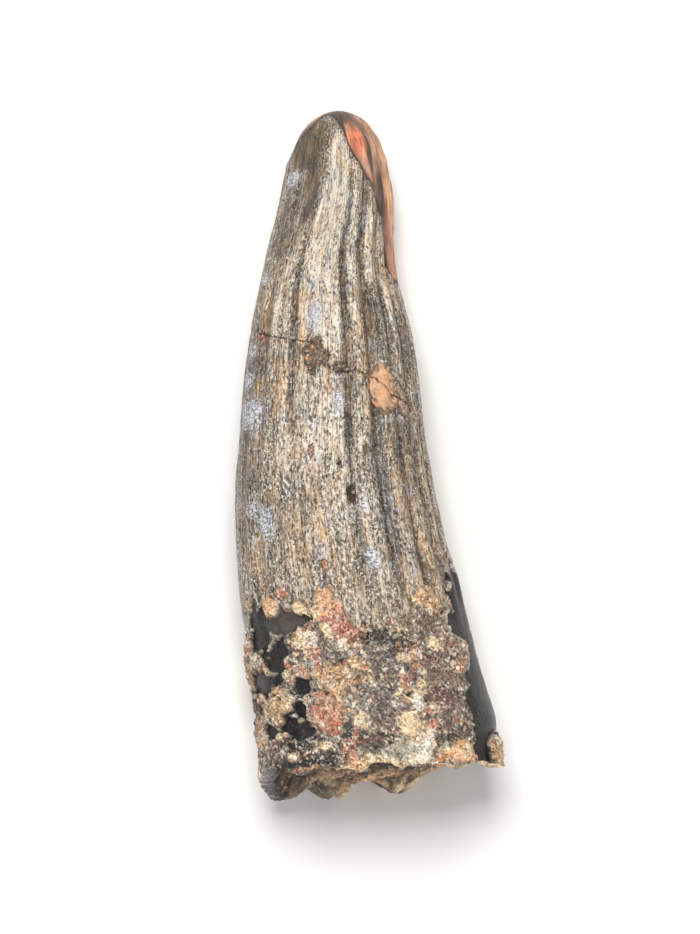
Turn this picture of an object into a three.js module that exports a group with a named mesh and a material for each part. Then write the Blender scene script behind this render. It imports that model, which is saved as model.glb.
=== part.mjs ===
// Fossil suchomimus tooth, lying on its side on two small flat spots.
//
// Millimetres. +Y runs from the broken base to the worn tip, +Z is up, and +X points to the
// hollow side of the curve. The origin is under the middle of the tooth's bounding box, on the
// surface it rests on.
//
// The tooth is one closed surface. Each cross section is an ellipse whose width comes from the
// outline seen from above. Angles go around the section: 0 at +X, 90 on top, 180 at -X and 270
// on the underside. Flutes, crust, chips and lumps move the surface along its own normal.

import * as THREE from "three";

// Crown, seen from above
const TIP_Y = 26.7;
const OUTLINE = [
  // y, left edge x, right edge x
  [-28, -7.65, 10.35],
  [-22, -8.1, 9.85],
  [-16, -9.1, 8.15],
  [-10, -9.7, 6.85],
  [-4, -9.95, 5.5],
  [2, -9.6, 4.6],
  [8, -9, 3.8],
  [14, -7.95, 2.5],
  [20, -6.5, 2.3],
  [TIP_Y, -5.55, 1.15],
];
const TIP_ROUNDING_START_Y = 20;
const TIP_ROUNDING_POWER = 3.8;

// Side view: depth as a share of width, and the height of the underside before it is worn flat
const DEPTH_SHARE = [
  [-28, 0.78],
  [2, 0.78],
  [14, 0.82],
  [TIP_Y, 0.88],
];
const UNDERSIDE = [
  [-28, -0.25],
  [-18, -0.25],
  [-8, 0.35],
  [2, 0.65],
  [10, 0.35],
  [16, -0.12],
  [19, -0.15],
  [22, 0.1],
  [TIP_Y, 0.5],
];

// Flutes run along the crown at fixed angles, and each groove has its own depth
const GROOVES = [
  { angle: 4, depth: 0.2 },
  { angle: 18, depth: 0.26 },
  { angle: 34, depth: 0.34 },
  { angle: 46, depth: 0.26 },
  { angle: 58, depth: 0.42 },
  { angle: 68, depth: 0.26 },
  { angle: 79, depth: 0.2 },
  { angle: 92, depth: 0.16 },
  { angle: 104, depth: 0.14 },
  { angle: 116, depth: 0.2 },
  { angle: 128, depth: 0.15 },
  { angle: 141, depth: 0.18 },
  { angle: 156, depth: 0.13 },
  { angle: 171, depth: 0.15 },
  { angle: 189, depth: 0.18 },
  { angle: 208, depth: 0.22 },
  { angle: 227, depth: 0.26 },
  { angle: 246, depth: 0.24 },
  { angle: 265, depth: 0.3 },
  { angle: 285, depth: 0.26 },
  { angle: 306, depth: 0.3 },
  { angle: 332, depth: 0.24 },
];
const FLUTES_FADE_IN = [-14, -8];
const FLUTES_FADE_OUT = [18, 25];

// The worn tip: above this edge the enamel is gone and bare dentine shows
const ENAMEL_THICKNESS = 0.3;
const ENAMEL_EDGE = [
  // angle, y
  [0, 12.4],
  [12, 15],
  [30, 18],
  [46, 20.8],
  [65, 23.4],
  [95, 26],
  [126, 25],
  [145, 22.6],
  [180, 22],
  [212, 20],
  [270, 19],
  [330, 15],
];

// The root: sand and mineral crust cemented over it, from this edge down to the broken rim
const CRUST_THICKNESS = 0.3;
const CRUST_ROUGHNESS = 0.45;
const CRUST_GRAIN = 1.5;
const CRUST_EDGE = [
  // angle, y
  [0, -9.4],
  [38, -12.2],
  [67, -14.1],
  [88, -15],
  [98, -11.9],
  [120, -13.6],
  [156, -12.6],
  [190, -13],
  [220, -14.2],
  [260, -12],
  [300, -13.6],
  [340, -11],
];

// The broken rim of the root
const RIM = [
  // angle, y
  [0, -24.8],
  [20, -25],
  [45, -25.6],
  [90, -26.1],
  [135, -26.1],
  [180, -26],
  [207, -27.2],
  [222, -26.3],
  [233, -25.7],
  [241, -26.6],
  [252, -25.6],
  [268, -25.5],
  [279, -26.2],
  [291, -24.9],
  [303, -24.1],
  [320, -23.9],
  [340, -24.2],
];

// The filled pulp cavity, seen in the broken end
const END_RINGS = [0.94, 0.84, 0.7, 0.54, 0.37, 0.19];
const WALL_SHARE = 0.82;
const FILL_TOP_Y = -24.2;
const FILL_BOTTOM_Y = -26.2;
const FILL_ROUGHNESS = 1.5;
const FILL_GRAIN = 2.4;

// Bumps stand out of the surface and dents go into it. Sizes are half widths around and along.
const BUMPS = [
  { angle: 69, y: -23.1, around: 1.1, along: 1.1, height: 0.6 },
  { angle: 66, y: -21.1, around: 0.7, along: 0.9, height: 0.4 },
  { angle: 66, y: -19.4, around: 0.7, along: 0.8, height: 0.4 },
  { angle: 95, y: -23.1, around: 0.6, along: 0.8, height: 0.5 },
  { angle: 76, y: -25.3, around: 1.0, along: 0.8, height: 0.5 },
  { angle: 64, y: -24.7, around: 1.3, along: 1.0, height: 0.6 },
  { angle: 42, y: -24.6, around: 1.7, along: 1.1, height: 0.6 },
  { angle: 99, y: -12.6, around: 0.9, along: 1.1, height: 0.5 },
  { angle: 139, y: -13.2, around: 1.2, along: 0.9, height: 0.45 },
  { angle: 96, y: -15.7, around: 1.2, along: 0.9, height: 0.4 },
  { angle: 116, y: -17.5, around: 0.7, along: 1.2, height: 0.4 },
  { angle: 113, y: -22.5, around: 1.0, along: 1.7, height: 0.35 },
  { angle: 200, y: -18, around: 1.3, along: 1.8, height: 0.5 },
  { angle: 225, y: -22.5, around: 1.5, along: 1.2, height: 0.5 },
  { angle: 318, y: -20.5, around: 1.4, along: 1.7, height: 0.5 },
  { angle: 345, y: -16, around: 1.2, along: 1.3, height: 0.4 },
];
const DENTS = [
  { angle: 54, y: 3.7, around: 1.0, along: 1.8, depth: 0.28 },
  { angle: 103, y: 6.2, around: 1.0, along: 1.3, depth: 0.22 },
  { angle: 83, y: 4.8, around: 0.6, along: 0.7, depth: 0.2 },
  { angle: 38, y: 3, around: 0.6, along: 1.3, depth: 0.2 },
  { angle: 83, y: -4.4, around: 0.6, along: 1.7, depth: 0.25 },
  { angle: 146, y: -15.4, around: 1.9, along: 2.1, depth: 0.5 },
  { angle: 134, y: -17.6, around: 1.3, along: 1.2, depth: 0.4 },
  { angle: 156, y: -19.7, around: 1.2, along: 1.2, depth: 0.4 },
  { angle: 129, y: -22.7, around: 1.3, along: 1.3, depth: 0.4 },
  { angle: 148, y: -22.9, around: 1.0, along: 0.8, depth: 0.35 },
  { angle: 82, y: -16.1, around: 1.2, along: 0.6, depth: 0.3 },
  { angle: 31, y: -14.4, around: 0.9, along: 0.9, depth: 0.3 },
  { angle: 238, y: -17, around: 1.8, along: 1.6, depth: 0.35 },
  { angle: 300, y: -17.5, around: 1.7, along: 1.5, depth: 0.35 },
];

// The strip along the right side where the crust is gone and the smooth root shows
const BARE_ROOT = { angle: 14, innerHalfAngle: 11, halfAngle: 18, top: -9.5 };

// Mesh size: four columns to a flute, and rows of the side in bands up to each y
const COLUMNS_PER_FLUTE = 4;
const ROW_BANDS = [
  { upTo: -12, rows: 15 },
  { upTo: 10, rows: 18 },
  { upTo: TIP_ROUNDING_START_Y, rows: 8 },
];
const TIP_ROWS = 7;

const RADIANS = Math.PI / 180;

// A smooth curve through points given as [place, value]
function smoothThrough(points) {
  const slopes = points.map((point, i) => {
    const before = points[Math.max(i - 1, 0)];
    const after = points[Math.min(i + 1, points.length - 1)];
    return (after[1] - before[1]) / (after[0] - before[0]);
  });
  return (place) => {
    const next = points.findIndex((point) => point[0] > place);
    if (next === 0) {
      return points[0][1];
    }
    if (next < 0) {
      return points[points.length - 1][1];
    }
    const [startPlace, startValue] = points[next - 1];
    const [endPlace, endValue] = points[next];
    const span = endPlace - startPlace;
    const t = (place - startPlace) / span;
    const rise = t * t * (3 - 2 * t);
    const startPull = t * (1 - t) * (1 - t) * span * slopes[next - 1];
    const endPull = t * t * (t - 1) * span * slopes[next];
    return startValue + (endValue - startValue) * rise + startPull + endPull;
  };
}

// The same for points given as [angle, value], joined up around the section
function smoothAround(points) {
  const before = points.slice(-2).map(([angle, value]) => [angle - 360, value]);
  const after = points.slice(0, 2).map(([angle, value]) => [angle + 360, value]);
  const curve = smoothThrough([...before, ...points, ...after]);
  return (angle) => curve(THREE.MathUtils.euclideanModulo(angle, 360));
}

const leftEdge = smoothThrough(OUTLINE.map(([y, left]) => [y, left]));
const rightEdge = smoothThrough(OUTLINE.map(([y, , right]) => [y, right]));
const depthShare = smoothThrough(DEPTH_SHARE);
const undersideHeight = smoothThrough(UNDERSIDE);
const enamelEdge = smoothAround(ENAMEL_EDGE);
const crustEdge = smoothAround(CRUST_EDGE);
const rimY = smoothAround(RIM);

// Centre and half sizes of the plain elliptical section at y
function sectionAt(y) {
  const left = leftEdge(y);
  const right = rightEdge(y);
  const halfWidth = (right - left) / 2;
  const halfDepth = halfWidth * depthShare(y);
  const towardsTip = Math.max(0, (y - TIP_ROUNDING_START_Y) / (TIP_Y - TIP_ROUNDING_START_Y));
  const rounding = Math.sqrt(Math.max(0, 1 - Math.pow(towardsTip, TIP_ROUNDING_POWER)));
  return {
    centreX: (left + right) / 2,
    centreZ: undersideHeight(y) + halfDepth,
    halfWidth: halfWidth * rounding,
    halfDepth: halfDepth * rounding,
  };
}

// A fixed random value from 0 to 1 for a cell of a grid
function cellValue(i, j, k) {
  const wave = Math.sin(i * 127.1 + j * 311.7 + k * 74.7) * 43758.5453;
  return wave - Math.floor(wave);
}

// Smooth noise from 0 to 1, with lumps about one unit wide
function lumpNoise(x, y, z) {
  const cell = [Math.floor(x), Math.floor(y), Math.floor(z)];
  const [u, v, w] = [x, y, z].map((value, i) => THREE.MathUtils.smoothstep(value - cell[i], 0, 1));
  const value = (i, j, k) => cellValue(cell[0] + i, cell[1] + j, cell[2] + k);
  const alongX = (j, k) => THREE.MathUtils.lerp(value(0, j, k), value(1, j, k), u);
  const alongY = (k) => THREE.MathUtils.lerp(alongX(0, k), alongX(1, k), v);
  return THREE.MathUtils.lerp(alongY(0), alongY(1), w);
}

// Depth of the flutes at an angle: sharp grooves with round ridges between them
function grooveDepth(angle) {
  const last = GROOVES[GROOVES.length - 1];
  const wrapped = angle < GROOVES[0].angle ? angle + 360 : angle;
  const ring = [...GROOVES, { angle: GROOVES[0].angle + 360, depth: GROOVES[0].depth }];
  const next = ring.findIndex((groove) => groove.angle > wrapped);
  const start = next > 0 ? ring[next - 1] : last;
  const end = next > 0 ? ring[next] : ring[ring.length - 1];
  const t = (wrapped - start.angle) / (end.angle - start.angle);
  const depth = THREE.MathUtils.lerp(start.depth, end.depth, t);
  return depth * (1 - Math.sin(Math.PI * t));
}

// 1 in the middle of a spot and 0 outside it
function spotShare(spot, angle, y, radius) {
  const turn = THREE.MathUtils.euclideanModulo(angle - spot.angle + 180, 360) - 180;
  const around = (turn * RADIANS * radius) / spot.around;
  const along = (y - spot.y) / spot.along;
  return 1 - THREE.MathUtils.smoothstep(Math.hypot(around, along), 0.35, 1.25);
}

// Share of the strip of bare root at an angle and y
function bareRootShare(angle, y) {
  const turn = THREE.MathUtils.euclideanModulo(angle - BARE_ROOT.angle + 180, 360) - 180;
  const { innerHalfAngle, halfAngle } = BARE_ROOT;
  const across = 1 - THREE.MathUtils.smoothstep(Math.abs(turn), innerHalfAngle, halfAngle);
  return across * THREE.MathUtils.smoothstep(BARE_ROOT.top - y, 0, 2);
}

// How far the surface lies outside the plain section, in mm
function surfaceOffset(angle, y, point, radius) {
  const flutesStart = THREE.MathUtils.smoothstep(y, ...FLUTES_FADE_IN);
  const flutesEnd = 1 - THREE.MathUtils.smoothstep(y, ...FLUTES_FADE_OUT);
  const flutes = grooveDepth(angle) * flutesStart * flutesEnd;

  const worn = ENAMEL_THICKNESS * THREE.MathUtils.smoothstep(y - enamelEdge(angle), -0.2, 0.6);

  const covered = THREE.MathUtils.smoothstep(crustEdge(angle) - y, -0.3, 0.9);
  const lumps = lumpNoise(point.x / CRUST_GRAIN, point.y / CRUST_GRAIN, point.z / CRUST_GRAIN);
  const crustHeight = CRUST_THICKNESS + CRUST_ROUGHNESS * (lumps - 0.5);
  const crust = covered * (1 - bareRootShare(angle, y)) * crustHeight;

  const bumps = BUMPS.map((bump) => bump.height * spotShare(bump, angle, y, radius));
  const dents = DENTS.map((dent) => dent.depth * spotShare(dent, angle, y, radius));
  return crust - flutes - worn + Math.max(...bumps) - Math.max(...dents);
}

// A point of the side, worn flat where it would pass below the surface the tooth rests on
function sidePoint(angle, y) {
  const { centreX, centreZ, halfWidth, halfDepth } = sectionAt(y);
  const cos = Math.cos(angle * RADIANS);
  const sin = Math.sin(angle * RADIANS);
  const plain = new THREE.Vector3(centreX + halfWidth * cos, y, centreZ + halfDepth * sin);
  const normal = new THREE.Vector3(cos * halfDepth, 0, sin * halfWidth).normalize();
  const offset = surfaceOffset(angle, y, plain, (halfWidth + halfDepth) / 2);
  const point = plain.clone().addScaledVector(normal, plain.z < 0 ? Math.max(offset, 0) : offset);
  point.z = Math.max(point.z, 0);
  return point;
}

// A point of the broken end: the root's wall near the rim, and the lumpy filling inside it
function endPoint(angle, share) {
  const rim = sidePoint(angle, rimY(angle));
  const { centreX, centreZ } = sectionAt(rim.y);
  const x = THREE.MathUtils.lerp(centreX, rim.x, share);
  const z = THREE.MathUtils.lerp(centreZ, rim.z, share);
  const low = 1 - THREE.MathUtils.smoothstep(z, 2, 9);
  const left = 1 - THREE.MathUtils.smoothstep(x, 3, 7);
  const filled = THREE.MathUtils.lerp(FILL_TOP_Y, FILL_BOTTOM_Y, low * left);
  const lumps = FILL_ROUGHNESS * (lumpNoise(x / FILL_GRAIN, 0, z / FILL_GRAIN) - 0.5);
  const wall = THREE.MathUtils.smoothstep(share, WALL_SHARE - 0.14, WALL_SHARE + 0.12);
  return new THREE.Vector3(x, THREE.MathUtils.lerp(filled - lumps, rim.y, wall), z);
}

// Column angles: a column in each groove, and the others spread over the ridge after it
function columnAngles() {
  return GROOVES.flatMap((groove, i) => {
    const next = i + 1 < GROOVES.length ? GROOVES[i + 1].angle : GROOVES[0].angle + 360;
    const steps = Array.from({ length: COLUMNS_PER_FLUTE }, (_, step) => step / COLUMNS_PER_FLUTE);
    return steps.map((t) => groove.angle + t * (next - groove.angle));
  });
}

// Heights of the rows of a column, from the broken rim up to just under the tip
function rowHeights(angle) {
  const heights = [rimY(angle)];
  for (const { upTo, rows } of ROW_BANDS) {
    const start = heights[heights.length - 1];
    for (let row = 1; row <= rows; row += 1) {
      heights.push(THREE.MathUtils.lerp(start, upTo, row / rows));
    }
  }
  for (let row = 1; row < TIP_ROWS; row += 1) {
    const turn = (row / TIP_ROWS) * (Math.PI / 2);
    heights.push(THREE.MathUtils.lerp(TIP_ROUNDING_START_Y, TIP_Y, Math.sin(turn)));
  }
  return heights;
}

// The closed surface: rings from the middle of the broken end, over the rim, up to the tip
function toothGeometry() {
  const angles = columnAngles();
  const rowsByColumn = angles.map((angle) => [
    ...[...END_RINGS].reverse().map((share) => endPoint(angle, share)),
    ...rowHeights(angle).map((y) => sidePoint(angle, y)),
  ]);
  const rowCount = rowsByColumn[0].length;
  const points = [];
  for (let row = 0; row < rowCount; row += 1) {
    rowsByColumn.forEach((column) => points.push(column[row]));
  }
  const endMiddle = points.length;
  points.push(endPoint(0, 0));
  const tip = points.length;
  const tipSection = sectionAt(TIP_Y);
  points.push(new THREE.Vector3(tipSection.centreX, TIP_Y, tipSection.centreZ));

  const triangles = [];
  const corner = (row, column) => row * angles.length + (column % angles.length);
  for (let column = 0; column < angles.length; column += 1) {
    triangles.push(endMiddle, corner(0, column), corner(0, column + 1));
    for (let row = 0; row + 1 < rowCount; row += 1) {
      const [a, b] = [corner(row, column), corner(row, column + 1)];
      const [c, d] = [corner(row + 1, column + 1), corner(row + 1, column)];
      triangles.push(a, c, b, a, d, c);
    }
    triangles.push(tip, corner(rowCount - 1, column + 1), corner(rowCount - 1, column));
  }

  const geometry = new THREE.BufferGeometry().setFromPoints(points);
  geometry.setIndex(triangles);
  geometry.computeVertexNormals();
  return geometry;
}

// The origin goes under the middle of the bounding box
function centredOnTheGround(geometry) {
  geometry.computeBoundingBox();
  const middle = geometry.boundingBox.getCenter(new THREE.Vector3());
  return geometry.translate(-middle.x, -middle.y, -geometry.boundingBox.min.z);
}

const tooth = new THREE.Mesh(
  centredOnTheGround(toothGeometry()),
  new THREE.MeshStandardMaterial({ color: 0x9a8a78, roughness: 0.45, metalness: 0, flatShading: true }),
);
tooth.name = "tooth";

const fossil = new THREE.Group();
fossil.add(tooth);

export default fossil;
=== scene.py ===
"""Fossil suchomimus tooth: its surface, its cemented sand and a plain stage, around the CAD frame.

Shapes are worked out in millimetres in the same layout as the solid: y runs from the broken root to
the worn tip, and angles go around the section, 0 at +X, 90 on top, 180 at -X and 270 underneath.
The last step of each piece moves it into the frame and scales it to metres.
"""

import math
from itertools import combinations
from typing import NamedTuple

import bpy
import numpy as np
from bpy.props import FloatProperty, FloatVectorProperty, IntProperty, PointerProperty
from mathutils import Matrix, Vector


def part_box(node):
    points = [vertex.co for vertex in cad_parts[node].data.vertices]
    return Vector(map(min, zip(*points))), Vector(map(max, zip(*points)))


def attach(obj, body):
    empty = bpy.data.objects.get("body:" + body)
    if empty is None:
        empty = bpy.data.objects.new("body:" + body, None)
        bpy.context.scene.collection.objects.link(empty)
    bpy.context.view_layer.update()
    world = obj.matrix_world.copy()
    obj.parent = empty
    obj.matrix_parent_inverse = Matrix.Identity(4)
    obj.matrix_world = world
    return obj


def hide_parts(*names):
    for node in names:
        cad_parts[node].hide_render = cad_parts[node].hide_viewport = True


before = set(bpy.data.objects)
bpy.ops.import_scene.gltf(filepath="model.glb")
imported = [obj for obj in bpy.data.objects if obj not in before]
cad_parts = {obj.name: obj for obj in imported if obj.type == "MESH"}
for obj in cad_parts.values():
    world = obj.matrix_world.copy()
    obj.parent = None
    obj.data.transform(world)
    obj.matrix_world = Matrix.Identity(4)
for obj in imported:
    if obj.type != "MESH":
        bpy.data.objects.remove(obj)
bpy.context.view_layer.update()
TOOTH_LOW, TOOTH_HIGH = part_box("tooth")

bl_info = {
    "name": "Fossil Tooth",
    "version": (1, 0, 0),
    "blender": (4, 5, 0),
    "location": "View3D > Sidebar > Fossil Tooth",
    "description": "Builds a fluted fossil tooth with a worn tip and a sand-crusted root",
    "category": "Add Mesh",
}

MM = 0.001

# Crown and root, in millimetres, as in the solid
TIP_Y = 26.7
TIP_ROUNDING_START_Y = 20.0
TIP_ROUNDING_POWER = 3.8
OUTLINE = (  # y, left edge x, right edge x
    (-28, -7.65, 10.35),
    (-22, -8.1, 9.85),
    (-16, -9.1, 8.15),
    (-10, -9.7, 6.85),
    (-4, -9.95, 5.5),
    (2, -9.6, 4.6),
    (8, -9.0, 3.8),
    (14, -7.95, 2.5),
    (20, -6.5, 2.3),
    (TIP_Y, -5.55, 1.15),
)
DEPTH_SHARE = ((-28, 0.78), (2, 0.78), (14, 0.82), (TIP_Y, 0.88))
UNDERSIDE = (
    (-28, -0.25),
    (-18, -0.25),
    (-8, 0.35),
    (2, 0.65),
    (10, 0.35),
    (16, -0.12),
    (19, -0.15),
    (22, 0.1),
    (TIP_Y, 0.5),
)

# Main grooves of the crown: angle, depth
GROOVES = (
    (4, 0.2),
    (17, 0.22),
    (31, 0.3),
    (44, 0.32),
    (62, 0.4),
    (80, 0.34),
    (92, 0.12),
    (104, 0.12),
    (117, 0.22),
    (128, 0.15),
    (141, 0.18),
    (156, 0.13),
    (171, 0.15),
    (189, 0.18),
    (208, 0.22),
    (227, 0.26),
    (246, 0.24),
    (265, 0.3),
    (285, 0.26),
    (306, 0.3),
    (332, 0.24),
)

# Edges that run around the tooth: angle, y
ENAMEL_EDGE = (
    (0, 11.6),
    (14, 12.6),
    (27, 13.2),
    (33, 15.3),
    (38, 17.3),
    (45, 18.9),
    (54, 20.2),
    (63, 21.5),
    (76, 22.9),
    (82, 24.5),
    (99, 25.7),
    (117, 25.9),
    (129, 25.3),
    (141, 24.8),
    (150, 24.1),
    (166, 23.0),
    (190, 21.8),
    (215, 20.5),
    (270, 19),
    (330, 14.5),
)
CRUST_EDGE = (
    (0, -10.4),
    (26, -10.6),
    (38, -13.0),
    (43, -11.8),
    (54, -11.7),
    (60, -13.2),
    (73, -14.0),
    (88, -14.7),
    (96, -14.2),
    (102, -11.9),
    (108, -13.2),
    (114, -14.1),
    (122, -13.3),
    (132, -12.6),
    (149, -13.0),
    (158, -13.4),
    (166, -15.8),
    (176, -16.2),
    (190, -14),
    (220, -14.2),
    (260, -12),
    (300, -13.6),
    (340, -11),
)
RIM = (
    (0, -24.8),
    (21, -24.7),
    (28, -24.5),
    (40, -24.7),
    (52, -25.0),
    (60, -24.8),
    (72, -25.1),
    (80, -25.0),
    (89, -24.8),
    (95, -24.9),
    (100, -25.3),
    (105, -25.0),
    (111, -25.25),
    (117, -24.9),
    (125, -25.3),
    (131, -25.7),
    (138, -25.3),
    (152, -25.1),
    (165, -25.2),
    (180, -25.9),
    (192, -26.4),
    (205, -27.25),
    (214, -26.7),
    (223, -25.8),
    (233, -26.5),
    (241, -27.1),
    (250, -26.3),
    (259, -25.4),
    (270, -26.1),
    (279, -26.7),
    (291, -25.4),
    (303, -24.1),
    (320, -23.9),
    (340, -24.2),
)
CRACK = (
    (0, 3.4),
    (30, 2.9),
    (44, 3.2),
    (56, 4.2),
    (64, 4.8),
    (77, 4.9),
    (90, 5.0),
    (102, 6.9),
    (113, 7.3),
    (125, 7.7),
    (140, 8.0),
    (170, 8.8),
    (210, 8.0),
    (250, 6.6),
    (300, 5.0),
    (335, 4.4),
)

# The enamel's streaks are looked up on a round bar of this radius, which narrows over the tip. Fine
# ridges are this much longer than wide.
FIBRE_RADIUS = 6.5
FIBRE_ROUNDING_POWER = 6
RIDGE_STRETCH = 14

# Distances to the edges of the zones are kept within this many mm
FAR = 2.0

# Middle of the broken end, and of its filling, along y
END_MIDDLE_Y = -25.5
FILLING_Y = -24.2

# Spots of the crust that are higher than these, in mm, cover the bare root and stay pale and calm
COVERING_HEIGHT = 0.3
CALM_HEIGHT = 0.22

# The mesh: columns stand closer together on the upper side, and rows where the detail is fine
COLUMNS = 304
COLUMN_CROWDING = 0.28
ROW_BANDS = ((-12.0, 112), (10.0, 98), (TIP_ROUNDING_START_Y, 46))
TIP_ROWS = 33
END_ROWS = 36


class Spot(NamedTuple):
    """A place on the surface: its middle, its half sizes in mm, its colour, and its height in mm. A
    soft area has its strength in place of the height."""

    angle: float
    y: float
    around: float
    along: float
    colour: str = ""
    height: float = 0.0


# Places where the crust is gone and the smooth dark root shows
BARE_SPOTS = (
    Spot(151, -14.4, 1.4, 2.4, "jet"),
    Spot(144, -14.5, 1.3, 1.1, "jet"),
    Spot(129, -14.4, 1.6, 1.35, "umber"),
    Spot(134, -16.2, 0.8, 0.85, "root"),
    Spot(140, -17.4, 1.6, 0.6, "root"),
    Spot(155, -18.8, 2.3, 1.0, "jet"),
    Spot(140, -20.0, 0.22, 0.2, "jet"),
    Spot(124, -19.0, 1.05, 1.0, "slate"),
    Spot(127, -20.9, 0.8, 0.7, "jet"),
    Spot(136, -22.0, 1.05, 1.0, "jet"),
    Spot(152, -22.4, 0.9, 0.6, "jet"),
    Spot(127, -22.3, 0.75, 0.85, "root"),
    Spot(180, -22.6, 0.9, 1.9, "jet"),
    Spot(31, -14.0, 1.05, 0.95, "root"),
    Spot(31, -24.1, 1.2, 1.7, "jet"),
    Spot(70, -19.8, 0.35, 0.2, "jet"),
    Spot(200, -15.5, 1.6, 1.3, "root"),
    Spot(214, -21.0, 1.2, 1.6, "jet"),
    Spot(238, -17.0, 1.8, 1.6, "umber"),
    Spot(262, -20.5, 1.3, 1.0, "root"),
    Spot(286, -15.2, 1.1, 1.7, "jet"),
    Spot(300, -21.0, 1.8, 1.2, "root"),
    Spot(322, -17.5, 1.4, 1.5, "umber"),
)
# The long strip of bare slate-coloured root on the right: its lower angle, its y range, and the angle
# of its upper edge by y
SLATE_STRIP = (-17.0, -26.5, -9.4)
SLATE_EDGE = (
    (-24, 34),
    (-22.3, 38),
    (-20.7, 41),
    (-18.4, 35),
    (-16.2, 27),
    (-14.5, 29),
    (-12.5, 33),
    (-9, 18),
)

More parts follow.
